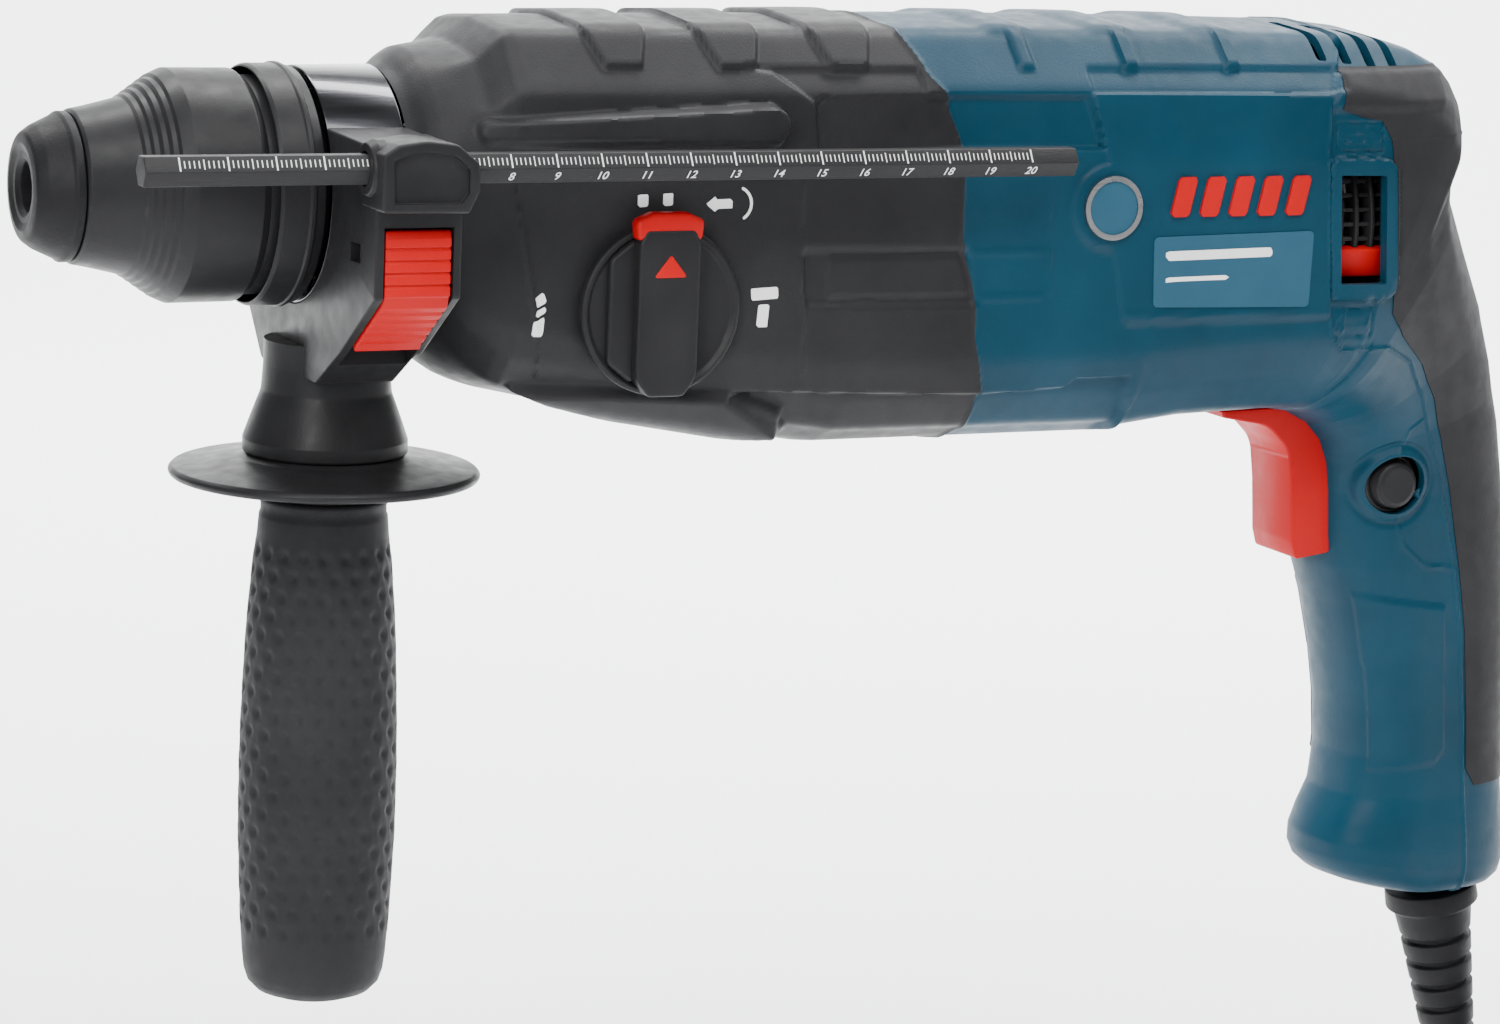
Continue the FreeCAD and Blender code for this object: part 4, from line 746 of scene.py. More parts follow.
def casings():
    """Gear case, motor case, rear cover and soft grip, cut from one skin along their joints."""
    points = skin_rings()
    points = points + ring_normals(points) * relief(*np.moveaxis(points, -1, 0))[..., None]
    rows, count = points.shape[:2]
    verts = points.reshape(-1, 3)
    faces = [(i * count + k, (i + 1) * count + k, (i + 1) * count + (k + 1) % count,
              i * count + (k + 1) % count)
             for i in range(rows - 1) for k in range(count)]
    # the handle's underside closes to a point
    foot = np.array([points[-1].mean(0) + (0, 0, -0.2)])
    verts = np.concatenate([verts, foot])
    base = (rows - 1) * count
    faces += [(base + k, rows * count, base + (k + 1) % count) for k in range(count)]

    def lock_hole(x, y, z):
        return np.where(y < -8, np.hypot(x - LOCK_SPOT[0], z - LOCK_SPOT[1]) - LOCK_RADIUS, 50)

    verts, black, blue = divide(verts, faces, lambda x, y, z: x - seam_at(z))
    shell_piece("gearbox_case", "gearbox_housing", "case_black", verts, black)
    verts, rear, motor = divide(verts, blue, lambda x, y, z: outline_distance(x, z, REAR_LINE))
    verts, _, motor = divide(verts, motor,
                             lambda x, y, z: np.minimum(lock_hole(x, y, z), vent_distance(x, y, z)))
    shell_piece("motor_case", "motor_housing", "case_blue", verts, motor, depth=2.2)
    verts, grip, cover = divide(verts, rear, lambda x, y, z: outline_distance(x, z, SOFT_LINE))
    shell_piece("rear_grip", "rear_soft_grip", "soft_black", verts, grip, lift=0.25)
    verts, _, cover = divide(verts, cover, lambda x, y, z: np.minimum(
        outline_distance(x, z, WINDOW), vent_distance(x, y, z)))
    shell_piece("rear_case", "rear_cover", "case_blue", verts, cover, depth=2.4)


# ---------------------------------------------------------------- marks that lie on the skin
class Surface:
    """Finds where a straight look from the knob's side meets the casings."""

    def __init__(self, names):
        verts, faces = [], []
        for name in names:
            mesh = bpy.data.objects[name].data
            start = len(verts)
            verts += [v.co.copy() for v in mesh.vertices]
            faces += [[start + i for i in f.vertices] for f in mesh.polygons]
        self.tree = BVHTree.FromPolygons(verts, faces)

    def spot(self, x, z, lift):
        start = at(x, -80, z)
        place, normal, _, _ = self.tree.ray_cast(start, Vector((0, 1, 0)))
        if normal.y > 0:
            normal = -normal
        return place + normal * lift / 1000


def mark(name, outline, skin, material, lift=0.12, step=0.6, thick=0.5):
    """A thin printed or moulded shape that follows the surface under it."""
    xs = [p[0] for p in outline]
    zs = [p[1] for p in outline]
    across = np.arange(min(xs) - step, max(xs) + 2 * step, step)
    up = np.arange(min(zs) - step, max(zs) + 2 * step, step)
    verts = [(a, 0.0, b) for b in up for a in across]
    wide = len(across)
    faces = [(r * wide + c, r * wide + c + 1, (r + 1) * wide + c + 1, (r + 1) * wide + c)
             for r in range(len(up) - 1) for c in range(wide - 1)]
    verts, inside, _ = divide(verts, faces, lambda x, y, z: outline_distance(x, z, outline))
    verts, inside = kept(verts, inside)
    work = skin_mesh([skin.spot(x, z, lift) for x, _, z in verts], inside, 1e-6)
    edges_in(work, lambda v: Vector((0, thick / 1000, 0)))
    bmesh.ops.recalc_face_normals(work, faces=work.faces)
    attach(linked(name, work, material, 40), "housing")


def arc(cx, cz, radius, start, end, steps=24):
    turns = [math.radians(start + (end - start) * k / steps) for k in range(steps + 1)]
    return [(cx + radius * math.cos(turn), cz + radius * math.sin(turn)) for turn in turns]


def marks():
    """Label plate, plain badge, colour bars and the pictograms round the mode knob."""
    skin = Surface(["gearbox_case", "motor_case"])
    plate = filleted([(245.4, -9.4, 1), (286.8, -8.6, 1), (286.4, -25.8, 1), (246, -25, 1)])
    mark("label_plate", plate, skin, look("label_blue"), lift=0.25)
    lines = [[(248.5, -12.6), (276, -12.1), (276, -14.2), (248.5, -14.7)],
             [(248.8, -18.4), (265, -18.1), (265, -19.2), (248.8, -19.5)]]
    for k, line in enumerate(lines):
        mark(f"label_line_{k}", line, skin, look("white_print"), lift=0.34, step=0.9)
    for k in range(5):
        left = 249 + 7.4 * k
        bar = filleted([(left, -5, 0.5), (left + 4.6, -4.9, 0.5), (left + 6.6, 3.9, 0.5),
                        (left + 2, 3.8, 0.5)])
        mark(f"red_bar_{k}", bar, skin, look("bright_red"), lift=0.7, step=0.8, thick=1.2)
    cx, cz = BADGE
    mark("badge_disc", arc(cx, cz, 6.9, 0, 350, 40), skin, look("label_blue"), lift=0.5, thick=1.2)
    ring = arc(cx, cz, 7.1, 0, 359.8, 48) + arc(cx, cz, 5.9, 359.8, 0, 48)
    mark("badge_ring", ring, skin, look("steel"), lift=0.85, step=0.35, thick=1.0)
    # drill pictogram in front of the knob
    pieces = {
        "icon_drill_tip": [(100.6, -20.6), (102.4, -19.2), (103.2, -21.4), (101, -22.6)],
        "icon_drill_mid": [(100.8, -23.4), (103.1, -22.2), (103, -23.6), (100.7, -24.8)],
        "icon_drill_shank": [(100.4, -25.6), (102.8, -24.5), (102.5, -28.6), (100.1, -28.6)],
        "icon_hammer_head": [(149.4, -19.3), (155.6, -19.0), (155.8, -21.5), (149.6, -21.9)],
        "icon_hammer_handle": [(151.3, -22.8), (153.8, -22.7), (153.4, -27.6), (150.9, -27.6)],
        "icon_dot_left": [(122.9, 0.9), (125.2, 1.0), (125.2, -1.6), (122.9, -1.7)],
        "icon_dot_right": [(128.6, 1.1), (130.8, 1.2), (130.8, -1.4), (128.6, -1.5)],
        "icon_arrow": [(138.4, -1.2), (140.8, 0.7), (140.8, -0.2), (144.4, -0.1), (144.4, -2.1),
                       (140.8, -2.2),
                       (140.8, -3.1)],
    }
    for name, outline in pieces.items():
        mark(name, outline, skin, look("white_print"), lift=0.14, step=0.5, thick=0.25)
    turn = arc(145.2, -1.2, 3.9, 70, -60, 14) + arc(145.2, -1.2, 3.3, -60, 70, 14)
    mark("icon_turn", turn, skin, look("white_print"), lift=0.14, step=0.4, thick=0.25)


# ---------------------------------------------------------------- chuck
def chuck():
    cap = lathe("nose_cap", [
        (14, 12.4), (9.4, 12.4, 0.2), (9.4, 15.5, 0.5), (7.6, 15.5, 0.5), (6.9, 14.9, 0.4), (5, 14, 3),
        (2.4, 12.8, 3),
        (0.2, 11.2, 1.6), (-0.1, 9, 1), (0.5, 7.4, 0.6), (0.5, 6.2, 0.4), (1.4, 5.25, 0.5),
        (12.6, 5.25), (12.6, 8.7),
        (14, 8.7)], look("rubber"), steps=160)
    settle(cap, "spindle", "rubber_black", "dust_cap")
    profile = [(9.7, 13), (9.7, 15.4, 0.3), (10.3, 16, 0.4), (13, 16.5, 3), (16, 17.2, 2),
               (20.6, 18.3, 0.3)]
    for x, r in ((21.2, 18.9), (22.7, 19.9), (24.3, 21.0), (25.9, 22.1)):
        profile += [(x, r, 0.25), (x + 1.0, r + 0.25, 0.25)]
    profile += [(27.4, 23.1, 0.4), (30.2, 24.35, 1.2), (44, 24.3, 0.8), (45.4, 23.3, 0.4),
                (45.8, 22.9, 0.3), (49, 22.9),
                (49, 21.4), (39.8, 21.4), (39.8, 10.9), (33, 10.9), (33, 14), (18, 14), (16, 13)]
    sleeve = lathe("lock_sleeve", profile, look("satin_black"), steps=180)
    settle(sleeve, "locking_sleeve", "plastic_black", "locking_sleeve")
    ring = lathe("rear_ring", [
        (47.2, 24.6), (47.2, 24.9, 0.2), (48, 25.3, 0.3), (53.4, 25.3, 0.2), (53.8, 25.65, 0.2),
        (54.6, 25.65, 0.2),
        (55, 25.2, 0.2), (57, 24.8, 0.3), (57, 9.5), (55.2, 8.7), (54.1, 8.7), (54.1, 23.4), (54.3, 24.6)],
        look("satin_black"), steps=160)
    settle(ring, "spindle", "plastic_black", "chuck_rear_ring")


# ---------------------------------------------------------------- side handle
HANDLE_X = 67
ROD_LINE = (-46.5, 8.6)
ROD_FLAT = 6.0
RING_DROP = -10
KNOB = (127.8, -23.1)


def hexagon(corner, radius=0):
    """Six corners round the depth rod's line."""
    return [(ROD_LINE[0] + corner * math.cos(math.radians(60 * k)),
             ROD_LINE[1] + corner * math.sin(math.radians(60 * k)), radius) for k in range(6)]


def side_handle():
    clamp = lathe("steel_clamp", [(58.2, 23.5), (58.2, 24.9, 0.3), (74.9, 25.1, 0.3), (74.9, 23.5)],
                  look("dark_steel"),
                  steps=160)
    settle(clamp, "side_handle", "steel_dark", "clamp_band")
    # saddle under the band, with the box that guides the depth rod
    side = filleted([(-53.6, 10, 1.5), (-53.6, 1.5, 0.5), (-50.6, 0.6, 0.5), (-50.6, -17.4, 1),
                     (-31, -31.4, 3),
                     (-17, -39.8, 2), (17, -39.8, 3), (27, -28, 4), (29.8, -14, 3), (29.8, 2, 1.5), (20, 2),
                     (-20, 14, 2), (-44, 13.2, 8)])
    yoke = slab("yoke", side, 58.2, 76.8, look("satin_black"), across="X", bevel=0.9)
    bore = lathe("bore_tool", [(50, 0), (50, 25.15), (90, 25.15), (90, 0)], look("satin_black"),
                 closed=False)
    carve(yoke, bore)
    pocket = filleted([(-60, -2.9), (-60, -21), (-36, -35), (-26, -35), (-24.5, -27.5), (-42.6, -13.4),
                       (-42.6, -2.9)],
                      steps=2)
    carve(yoke, slab("pocket_tool", pocket, 60.0, 75.0, look("satin_black"), across="X", bevel=0))
    flare = slab("clearance_tool", [(75.4, -30.2), (90, -30.2), (90, 30.2), (75.4, 30.2)], -45, 15,
                 look("satin_black"),
                 across="Z", bevel=0)
    carve(yoke, flare)
    carve(yoke, slab("nick_tool", [(-42, -11.2), (-36.4, -11.2), (-36.4, -7.2), (-42, -7.2)], 50, 60.2,
                     look("satin_black"), across="X", bevel=0))
    boss = lathe("rod_boss", [(57.0, 5.2, 0.5), (58.6, 6.1, 0.4), (60.5, 6.1), (60.5, 3.6), (57.0, 3.6)],
                 look("satin_black"), origin=(0, *ROD_LINE), steps=48)
    hood = filleted([(58, 0.6, 0.8), (57.6, 12.2, 1), (61, 14.3, 2.5), (67, 15.1, 9), (73.6, 14.3, 2.5),
                     (78.4, 10.4, 1.5), (78.6, 4.8, 1), (76.4, 0.4, 0.8)])
    lid = slab("arched_hood", hood, -55.4, -42, look("satin_black"), bevel=0.7)
    carve(lid, slab("window_tool", filleted([(60.2, 2.4, 0.6), (59.8, 11, 1), (63, 12.4, 2), (67, 12.9, 8),
                                            (72.6, 12.2, 2), (76.2, 9.4, 1.5), (76.2, 4.4, 1),
                                            (74.6, 2.4, 0.6)]),
                    -60, -54.3, look("satin_black"), bevel=0.2))
    # six-sided guide hole for the depth rod
    for piece in (yoke, lid):
        hole = [corner[:2] for corner in hexagon(3.85)]
        carve(piece, slab("guide_tool", hole, 50, 90, look("satin_black"), across="X", bevel=0))
    stem_profile = [(-57.2, 17.6, 0.6), (-54.2, 17.6, 0.8), (-50.5, 16.3, 2), (-44, 13.9, 4),
                    (-38.5, 13.5, 2),
                    (-33, 13.4), (-33, 6), (-57.2, 6)]
    stem = lathe("stem", stem_profile, look("satin_black"), origin=(HANDLE_X, 0, 0), axis="Z", steps=96)
    for piece in (yoke, boss, lid, stem):
        settle(piece, "side_handle", "plastic_black")
    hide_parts("handle_yoke")
    # ribbed release button
    front = [(-49.8, -3.6, 0.6)]
    for k in range(5):
        z = -5.2 - 2.5 * k
        front += [(-50.5, z, 0.3), (-50.5, z - 1.7, 0.3), (-49.9, z - 2.0)]
    for k in range(5):
        y, z = -48.6 + 2.8 * k, -19.0 - 2.0 * k
        front += [(y - 0.3, z - 0.5, 0.3), (y + 1.2, z - 1.6, 0.3), (y + 1.9, z - 1.4)]
    outline = filleted(front + [(-34.2, -30.6, 0.5), (-31.6, -28.4), (-45.6, -15), (-45.6, -3.6)], steps=3)
    button = slab("release_button", outline, 60.4, 74.6, look("bright_red"), across="X", bevel=0.35)
    settle(button, "depth_release", "plastic_red", "depth_release_button")
    # guard with its hub
    guard = lathe("grip_guard", [
        (-57.3, 6), (-57.3, 16.6, 0.3), (-58.2, 18.4, 1), (-59.6, 26, 6), (-60.4, 32.4, 0.8),
        (-61.4, 33.4, 0.9),
        (-62.6, 32.6, 0.8), (-62.8, 26, 4), (-63.6, 17.6, 2.5), (-66.4, 13.7, 0.5), (-66.4, 6)],
        look("satin_black"),
        origin=(HANDLE_X, 0, 0), axis="Z", steps=160)
    settle(guard, "side_grip", "plastic_black", "grip_core")
    stations = [(-66.6, 12.6), (-66.9, 13.6), (-70, 13.7), (-75, 14.1), (-80, 14.75), (-87, 15.35),
                (-95, 15.95),
                (-105, 16.4), (-115, 16.75), (-125, 16.95), (-140, 16.9), (-150, 16.5), (-160, 16.05),
                (-168, 15.5)]
    pace = 0.7
    heights = list(np.arange(-67.2, -168, -pace))
    table = [(z, float(np.interp(-z, [-s[0] for s in stations],
                                 [s[1] for s in stations]))) for z in heights]
    end = [(-171, 15.1), (-173.4, 14.3), (-175.2, 12.6), (-176.4, 9.5), (-176.9, 5), (-177, 0.4)]
    profile = [(-66.6, 6), (-66.6, 12.8)] + table + end

    def dimples(turn, z, radius):
        if z > -76.5 or z < -163 or radius < 10:
            return -0.25 if -68.5 > z > -70.2 else 0
        row = round((z + 78) / 4.3)
        gap_z = z + 78 - 4.3 * row
        columns = 20
        share = turn * columns / (2 * math.pi) + 0.5 * (row % 2)
        gap = (share - round(share)) * 2 * math.pi / columns * radius
        far = math.hypot(gap, gap_z)
        edge = max(0.0, 1 - far / 1.75)
        return -0.62 * edge * edge * (3 - 2 * edge) + 0.1 * max(0.0, 1 - abs(far - 2.1) / 0.5)

    grip = lathe("dimpled_grip", profile, look("soft_black"), origin=(HANDLE_X, 0, 0), axis="Z",
                 steps=200,
                 closed=False, shape=dimples, smooth=60)
    settle(grip, "side_grip", "soft_black", "side_grip")


def number_mesh(text, height, name):
    """Plain upright figures as a thin mesh in its own X-Z plane, in millimetres."""
    data = bpy.data.curves.new(name, "FONT")
    data.body = text
    data.size = height * 1.4
    data.align_x = "CENTER"
    data.shear = 0.2
    data.offset = 0.02
    holder = bpy.data.objects.new(name, data)
    bpy.context.collection.objects.link(holder)
    mesh = bpy.data.meshes.new_from_object(holder.evaluated_get(bpy.context.evaluated_depsgraph_get()))
    bpy.data.objects.remove(holder)
    return mesh


def depth_rod():
    """Hexagonal rod with a centimetre scale printed on its upper outer flat."""
    y0, z0 = ROD_LINE
    outline = filleted(hexagon(ROD_FLAT / 2 / math.cos(math.radians(30)), 0.35), steps=3)
    rod = slab("scale_rod", outline, 10.5, 219, look("rod_black"), across="X", bevel=0.4)
    settle(rod, "depth_rod", "grey_plastic", "depth_rod")
    # ticks on the flat that faces up and out, figures on the one below
    up_flat = math.radians(150)
    normal = Vector((0, math.cos(up_flat), math.sin(up_flat)))
    slope = Vector((0, -math.sin(up_flat), math.cos(up_flat)))
    middle = Vector((0, y0, z0)) + normal * (ROD_FLAT / 2 + 0.05)
    verts, faces = [], []
    for tick in range(10, 201):
        x = 7.6 + tick
        if x > 213 or x < 17:
            continue
        long_tick = tick % 10 == 0
        low = -1.55 if long_tick else (-1.05 if tick % 5 == 0 else -0.75)
        high = 1.45 if long_tick else (1.1 if tick % 5 == 0 else 0.8)
        half = 0.16 if long_tick else 0.11
        start = len(verts)
        for along, rise in ((x - half, low), (x + half, low), (x + half, high), (x - half, high)):
            verts.append(tuple(middle + slope * rise + Vector((along, 0, 0))))
        faces.append((start, start + 1, start + 2, start + 3))
    ticks = mesh_object("rod_ticks", verts, faces, look("white_print"))
    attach(ticks, "depth_rod")
    low_flat = math.radians(210)
    normal = Vector((0, math.cos(low_flat), math.sin(low_flat)))
    slope = Vector((0, math.sin(low_flat), -math.cos(low_flat)))
    base = Vector((0, y0, z0)) + normal * (ROD_FLAT / 2 + 0.06) - slope * 0.95
    work = bmesh.new()
    for figure in range(8, 21):
        mesh = number_mesh(str(figure), 1.9, f"figure_{figure}")
        start = len(work.verts)
        work.from_mesh(mesh)
        work.verts.ensure_lookup_table()
        for v in work.verts[start:]:
            spot = base + slope * v.co.y + Vector((7.6 + 10 * figure + v.co.x, 0, 0))
            v.co = at(*spot)
        bpy.data.meshes.remove(mesh)
    mesh = bpy.data.meshes.new("rod_figures")
    work.to_mesh(mesh)
    work.free()
    mesh.materials.append(look("white_print"))
    figures = bpy.data.objects.new("rod_figures", mesh)
    bpy.context.collection.objects.link(figures)
    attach(figures, "depth_rod")


# ---------------------------------------------------------------- knob, trigger, buttons
def mode_knob():
    x, z = KNOB
    disc = lathe("knob_disc", [(-34.6, 0), (-34.6, 18.2, 0.4), (-36.6, 18.2, 0.7), (-37.0, 17.2, 0.4),
                               (-36.0, 16.2, 0.8),
                               (-35.8, 0)], look("satin_black"), origin=(x, 0, z), axis="Y", steps=128,
                               closed=False)
    bar_outline = filleted([(x - 7, z + 14.6, 2), (x - 5.6, z + 17.4, 1.5), (x + 5.6, z + 17.4, 1.5),
                            (x + 7, z + 14.6, 2), (x + 7, z - 14, 6), (x + 4, z - 17.9, 2),
                            (x - 4, z - 17.9, 2),
                            (x - 7, z - 14, 6)])
    bar = slab("knob_bar", bar_outline, -40.5, -34.8, look("satin_black"), bevel=0.7)
    ramp_side = slab("knob_flank", filleted([(x - 12.4, z + 11, 2), (x - 6, z + 16, 1), (x - 6, z - 16, 1),
                                             (x - 12.4, z - 11, 2)]), -37.6, -34.8, look("satin_black"),
                                             bevel=1.4)
    mark_outline = filleted([(x - 3.9, z + 7.4, 0.4), (x + 3.9, z + 7.4, 0.4), (x, z + 12.2, 0.4)])
    triangle = slab("knob_mark", mark_outline, -40.75, -40.2, look("bright_red"), bevel=0.15)
    for piece in (disc, bar, ramp_side, triangle):
        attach(piece, "mode_knob")
    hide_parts("mode_knob")
    tongue = filleted([(x - 7.4, z + 15.2, 1), (x - 7.8, z + 19.4, 1.4), (x - 4, z + 21.0, 2),
                       (x + 4, z + 21.0, 2),
                       (x + 7.8, z + 19.4, 1.4), (x + 7.4, z + 15.2, 1)])
    button = slab("knob_release", tongue, -40.2, -36.4, look("bright_red"), bevel=0.9)
    settle(button, "knob_lock", "plastic_red", "knob_lock_button")


def trigger():
    """Finger-shaped trigger: hollow front that runs out into a lip under the motor case."""
    outline = filleted([
        (281.6, -54.6, 0.4), (282.6, -56.4, 0.6), (294.6, -58.6, 9), (300.6, -64.5, 8), (302.2, -74, 20),
        (303.8, -86.6, 3), (306.6, -91, 2), (317.4, -89.6, 2), (316.4, -54, 2)], steps=7)
    half = 8.9

    def rounded_front(x, y, z):
        lean = min(1.0, abs(y / half)) ** 3
        front = float(ramp(309, 301, x))
        dish = float(ramp(-59, -64, z)) * float(ramp(-89, -83, z))
        return x + front * (3.0 * lean + 0.7 * (1 - lean) * dish), y, z

    piece = slab("finger_trigger", outline, -half, half, look("bright_red"), bevel=1.6,
                 shape=rounded_front, steps=5)
    settle(piece, "trigger", "plastic_red", "trigger")


def coil_spring(name, node, body, start, length, radius, wire, turns):
    """Wire spring along X, wound from its start over its length, on the body that carries it."""
    count, sides = turns * 28, 8
    verts, faces = [], []
    for k in range(count + 1):
        share = k / count
        turn = 2 * math.pi * turns * share
        along = wire / 2 + (length - wire) * share
        for n in range(sides):
            way = 2 * math.pi * n / sides
            out = radius + wire / 2 * math.cos(way)
            verts.append((start[0] + along + wire / 2 * math.sin(way), start[1] + out * math.cos(turn),
                          start[2] + out * math.sin(turn)))
    for k in range(count):
        for n in range(sides):
            m = (n + 1) % sides
            faces.append((k * sides + n, k * sides + m, (k + 1) * sides + m, (k + 1) * sides + n))
    faces += [tuple(range(sides))[::-1], tuple(count * sides + n for n in range(sides))]
    piece = mesh_object(name, verts, faces, look("steel"), smooth=60)
    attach(piece, body)
    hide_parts(node)
    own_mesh(piece)


def springs():
    coil_spring("sleeve_coil", "sleeve_spring", "spindle", (41.2, 0, 0), 12, 15.2, 0.8, 5)
    coil_spring("trigger_coil", "trigger_spring", "trigger", (308.4, 0, -66), 15.4, 3, 0.5, 6)


def lock_on():
    x, z = LOCK_SPOT
    button = lathe("lock_button", [(-13.6, 0), (-13.6, 7.0, 0.2), (-17.2, 7.0, 0.4), (-17.2, 6.2, 0.2),
                                   (-16, 5.7, 0.2),
                                   (-19.8, 5.5, 0.9), (-20.4, 4.2, 0.8), (-20.2, 0)], look("satin_black"),
                   origin=(x, 0, z), axis="Y", steps=64, closed=False)
    settle(button, "lock_on", "plastic_black", "lock_on_button")


def brush_ring():
    """Louvred reversing ring behind the windows, with its red tabs."""
    drop = RING_DROP
    made = []
    for k in range(5):
        x = 293.2 + 4.2 * k
        made.append(lathe(f"louvre_{k}", [(x, 29.6), (x, 33.2, 0.6), (x + 1.3, 33.2, 0.6), (x + 1.3, 29.6)],
                          look("satin_black"), origin=(0, 0, drop), steps=160))
    for k in range(60):
        turn = math.radians(6 * k + 3)
        cy, cz = math.cos(turn), math.sin(turn)
        outline = [(31.6 * cy + s * 0.45 * cz + r * cy, drop + 31.6 * cz - s * 0.45 * cy + r * cz)
                   for s, r in ((-1, -1.4), (1, -1.4), (1, 0.6), (-1, 0.6))]
        made.append(slab(f"louvre_bar_{k}", outline, 293.4, 311, look("satin_black"), across="X",
                         bevel=0.15, steps=1))
    for piece in made:
        settle(piece, "reversing_ring", "plastic_black")
    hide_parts("reversing_ring")
    for side in (-1, 1):
        start, end = (186, 197) if side < 0 else (6, 17)
        outline = arc(0, drop, 35.0, start, end, 7) + arc(0, drop, 30.4, end, start, 7)
        tab = slab(f"reversing_tab_{(side + 1) // 2}", outline, 291.6, 310, look("bright_red"),
                   across="X", bevel=0.5)
        settle(tab, "reversing_ring", "plastic_red")


# ---------------------------------------------------------------- cord
CORD_DIAMETER = 0.0075
COIL_CENTRE = (430, -55)
COIL_INNER, COIL_OUTER = 31.5, 58
LAYER_RISE = 7.6
FLOOR_LAYER = -281.0


def boot_line():
    lean = math.radians(12.5)
    return Vector((357.5, 0, -173)), Vector((math.sin(lean), 0, -math.cos(lean)))


def cord():
    """One spline: out of the boot, down to the floor, round the coil and on to the plug."""
    top, down = boot_line()
    exit_at = top + down * 58
    route = [exit_at]
    for length, lean in ((18.5, 12.5), (18.5, 32), (18, 51.5), (18, 71), (13.5, 90)):
        turn = math.radians(lean)
        route.append(route[-1] + Vector((length * math.sin(turn), 0, -length * math.cos(turn))))
    # four layers of clockwise turns, going in, out, in and out again; 16 points to a turn
    per_turn, per_layer = 16, 54
    for k in range(1, 4 * per_layer + 1):
        layer, step = divmod(k, per_layer)
        share = step / per_layer
        inward = share if layer % 2 == 0 else 1 - share
        radius = COIL_OUTER + (COIL_INNER - COIL_OUTER) * inward
        angle = math.pi / 2 - 2 * math.pi * k / per_turn
        climb = max(0.0, 1 - step / 5) if layer else 0
        z = FLOOR_LAYER + LAYER_RISE * (min(layer, 3) - (climb if layer < 4 else 0))
        route.append(Vector((COIL_CENTRE[0] + radius * math.cos(angle),
                             COIL_CENTRE[1] + radius * math.sin(angle), z)))
    tail = [(412, -113, -258.6), (396, -113.2, -261.4), (379, -112.4, -267.6), (362, -110.2, -274.2),
            (345, -107.4, -277)]
    route += [Vector(p) for p in tail]
    data = bpy.data.curves.new("mains_cord", "CURVE")
    data.dimensions = "3D"
    data.bevel_depth = CORD_DIAMETER / 2
    data.bevel_resolution = 5
    data.resolution_u = 4
    data.use_fill_caps = True
    line = data.splines.new("NURBS")
    line.points.add(len(route) - 1)
    for point, spot in zip(line.points, route):
        point.co = (*at(*spot), 1)
    line.order_u = 3
    line.use_endpoint_u = True
    data.materials.append(look("rubber"))
    piece = bpy.data.objects.new("mains_cord", data)
    bpy.context.collection.objects.link(piece)
    settle(piece, "housing", "rubber_black", "cord_tube", "cord_coil", "cord_tail")
    others = [boot(), plug(tail[-1]), tie(), frame["nodes"]["plug_pins"]]


def turned_to(piece, start, direction):
    """Moves the points of a piece made along Z from the origin onto a leaning line."""
    turn = Vector((0, 0, 1)).rotation_difference(direction).to_matrix()
    origin = at(0, 0, 0)
    target = at(*start)
    for v in piece.data.vertices:
        v.co = turn @ (v.co - origin) + target


def boot():
    """Strain relief: collar, square clamp and a ribbed, tapering sleeve."""
    profile = [(0, 0), (0, 7), (3.6, 7), (3.6, 11.2, 0.5), (8.2, 11.4, 0.6), (9.4, 9.6, 0.6),
               (12.6, 9.2, 0.8)]
    for k in range(6):
        d = 15.5 + 6.2 * k
        r = 8.8 - 0.5 * k
        profile += [(d, r, 0.3), (d + 0.2, r - 1.5, 0.3), (d + 1.8, r - 1.5, 0.3), (d + 2.0, r - 0.1, 0.3)]
    profile += [(56, 5.6, 0.6), (58, 5.0, 0.4), (58, 3.8), (57, 0)]
    piece = lathe("cord_sleeve", profile, look("rubber"), axis="Z", steps=64, closed=False)
    top, down = boot_line()
    turned_to(piece, top, down)
    settle(piece, "housing", "rubber_black", "cord_boot")
    return piece


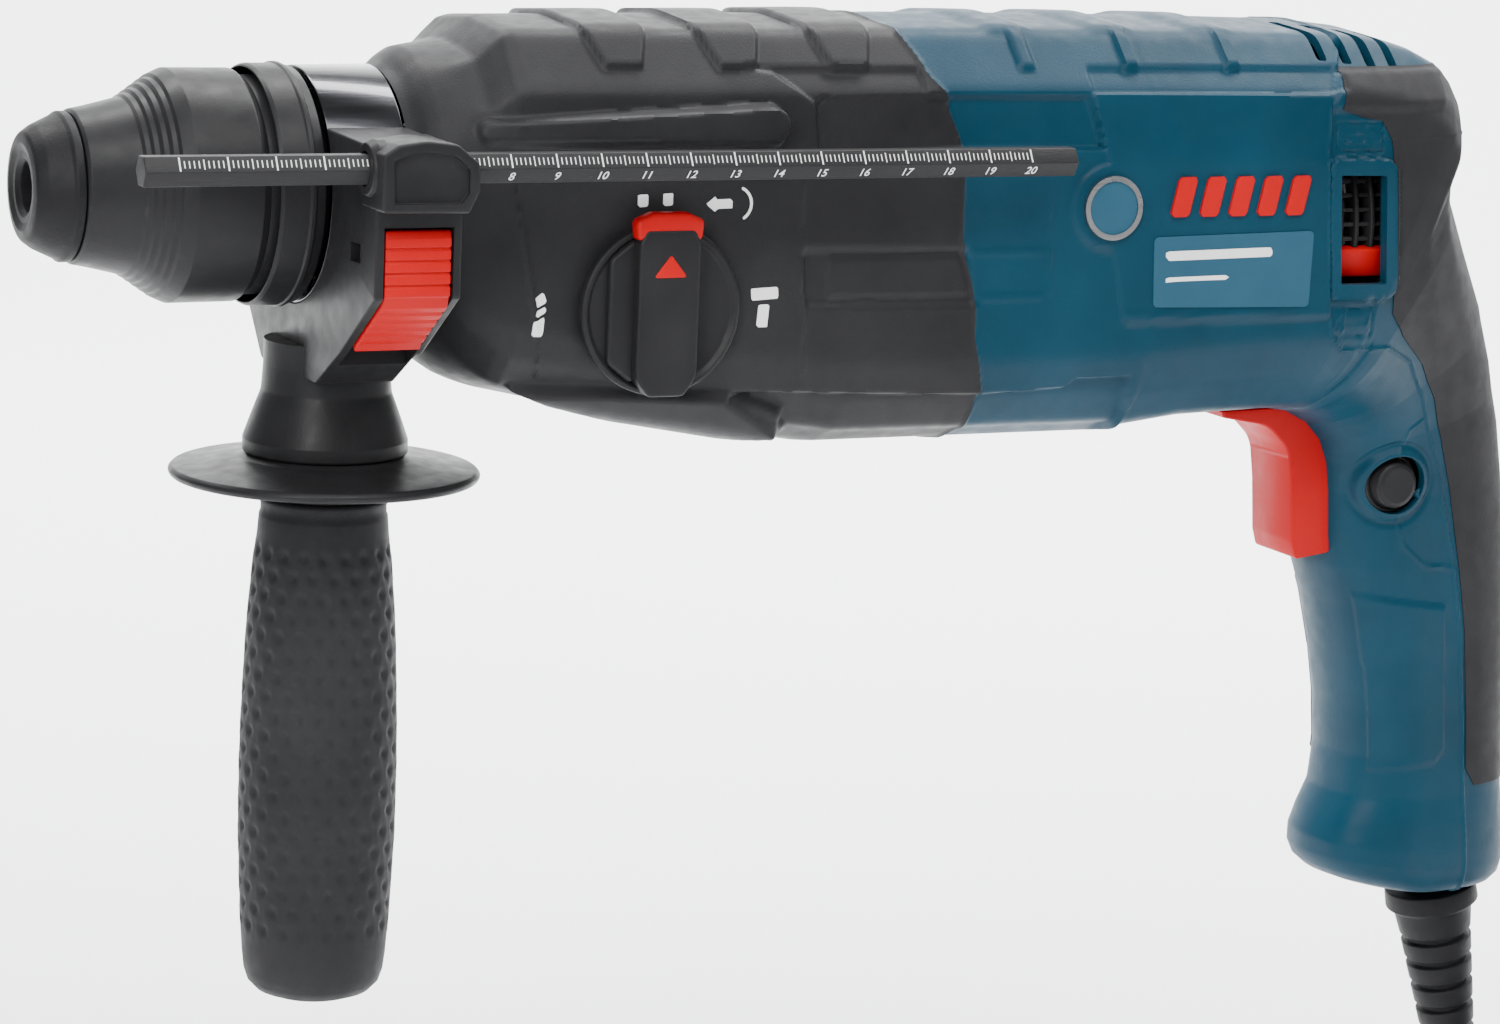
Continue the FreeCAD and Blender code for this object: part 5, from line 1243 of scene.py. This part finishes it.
def plug(entry):
    """Moulded two-pin plug with a waisted grip, lying beside the coil."""
    edge = [(0, 5.2, 1), (10, 6.2, 3), (19, 14, 5), (26, 16.4, 3), (31, 15, 2), (36, 17, 3),
            (43, 16.4, 1.5)]
    outline = filleted([(x, -y, r) for x, y, r in edge] + edge[::-1])

    turn = math.radians(170)
    ahead_x, ahead_y = math.cos(turn), math.sin(turn)

    def place(x, y, z):
        """Pinched towards the cord, and turned to lie along the tail's end."""
        z *= 1 - 0.34 * float(ramp(20, 2, x))
        return entry[0] + x * ahead_x - y * ahead_y, entry[1] + x * ahead_y + y * ahead_x, entry[2] + z

    piece = slab("moulded_plug", outline, -7.8, 7.8, look("rubber"), across="Z", bevel=2.2, shape=place,
                 steps=4)
    settle(piece, "housing", "rubber_black", "plug_body")
    return piece


def tie():
    """Strap that holds the coil's turns together, on its far right."""
    cx, cy = COIL_CENTRE
    low, high = FLOOR_LAYER - 3.9, FLOOR_LAYER + 3 * LAYER_RISE + 4.6
    inner, outer = COIL_INNER - 4.6, COIL_OUTER + 4.6
    section = filleted([(inner, low, 3), (outer, low, 3), (outer, high, 4), (inner, high, 4)], steps=4)
    inside = filleted([(inner + 0.9, low + 0.4, 2), (outer - 0.9, low + 0.4, 2),
                       (outer - 0.9, high - 0.9, 3),
                       (inner + 0.9, high - 0.9, 3)], steps=4)
    verts, faces = [], []
    count = len(section)
    for side in (-4.5, 4.5):
        for ring in (section, inside):
            verts += [(cx + r, cy + side, z) for r, z in ring]
    for k in range(count):
        n = (k + 1) % count
        faces.append((k, n, 2 * count + n, 2 * count + k))
        faces.append((count + k, 3 * count + k, 3 * count + n, count + n))
        faces.append((k, count + k, count + n, n))
        faces.append((2 * count + k, 2 * count + n, 3 * count + n, 3 * count + k))
    piece = mesh_object("cord_tie", verts, faces, look("satin_black"), smooth=50)
    settle(piece, "housing", "plastic_black")
    return piece


camera()
studio()
dress_nodes()
cord()
casings()
marks()
chuck()
side_handle()
depth_rod()
mode_knob()
trigger()
springs()
lock_on()
brush_ring()
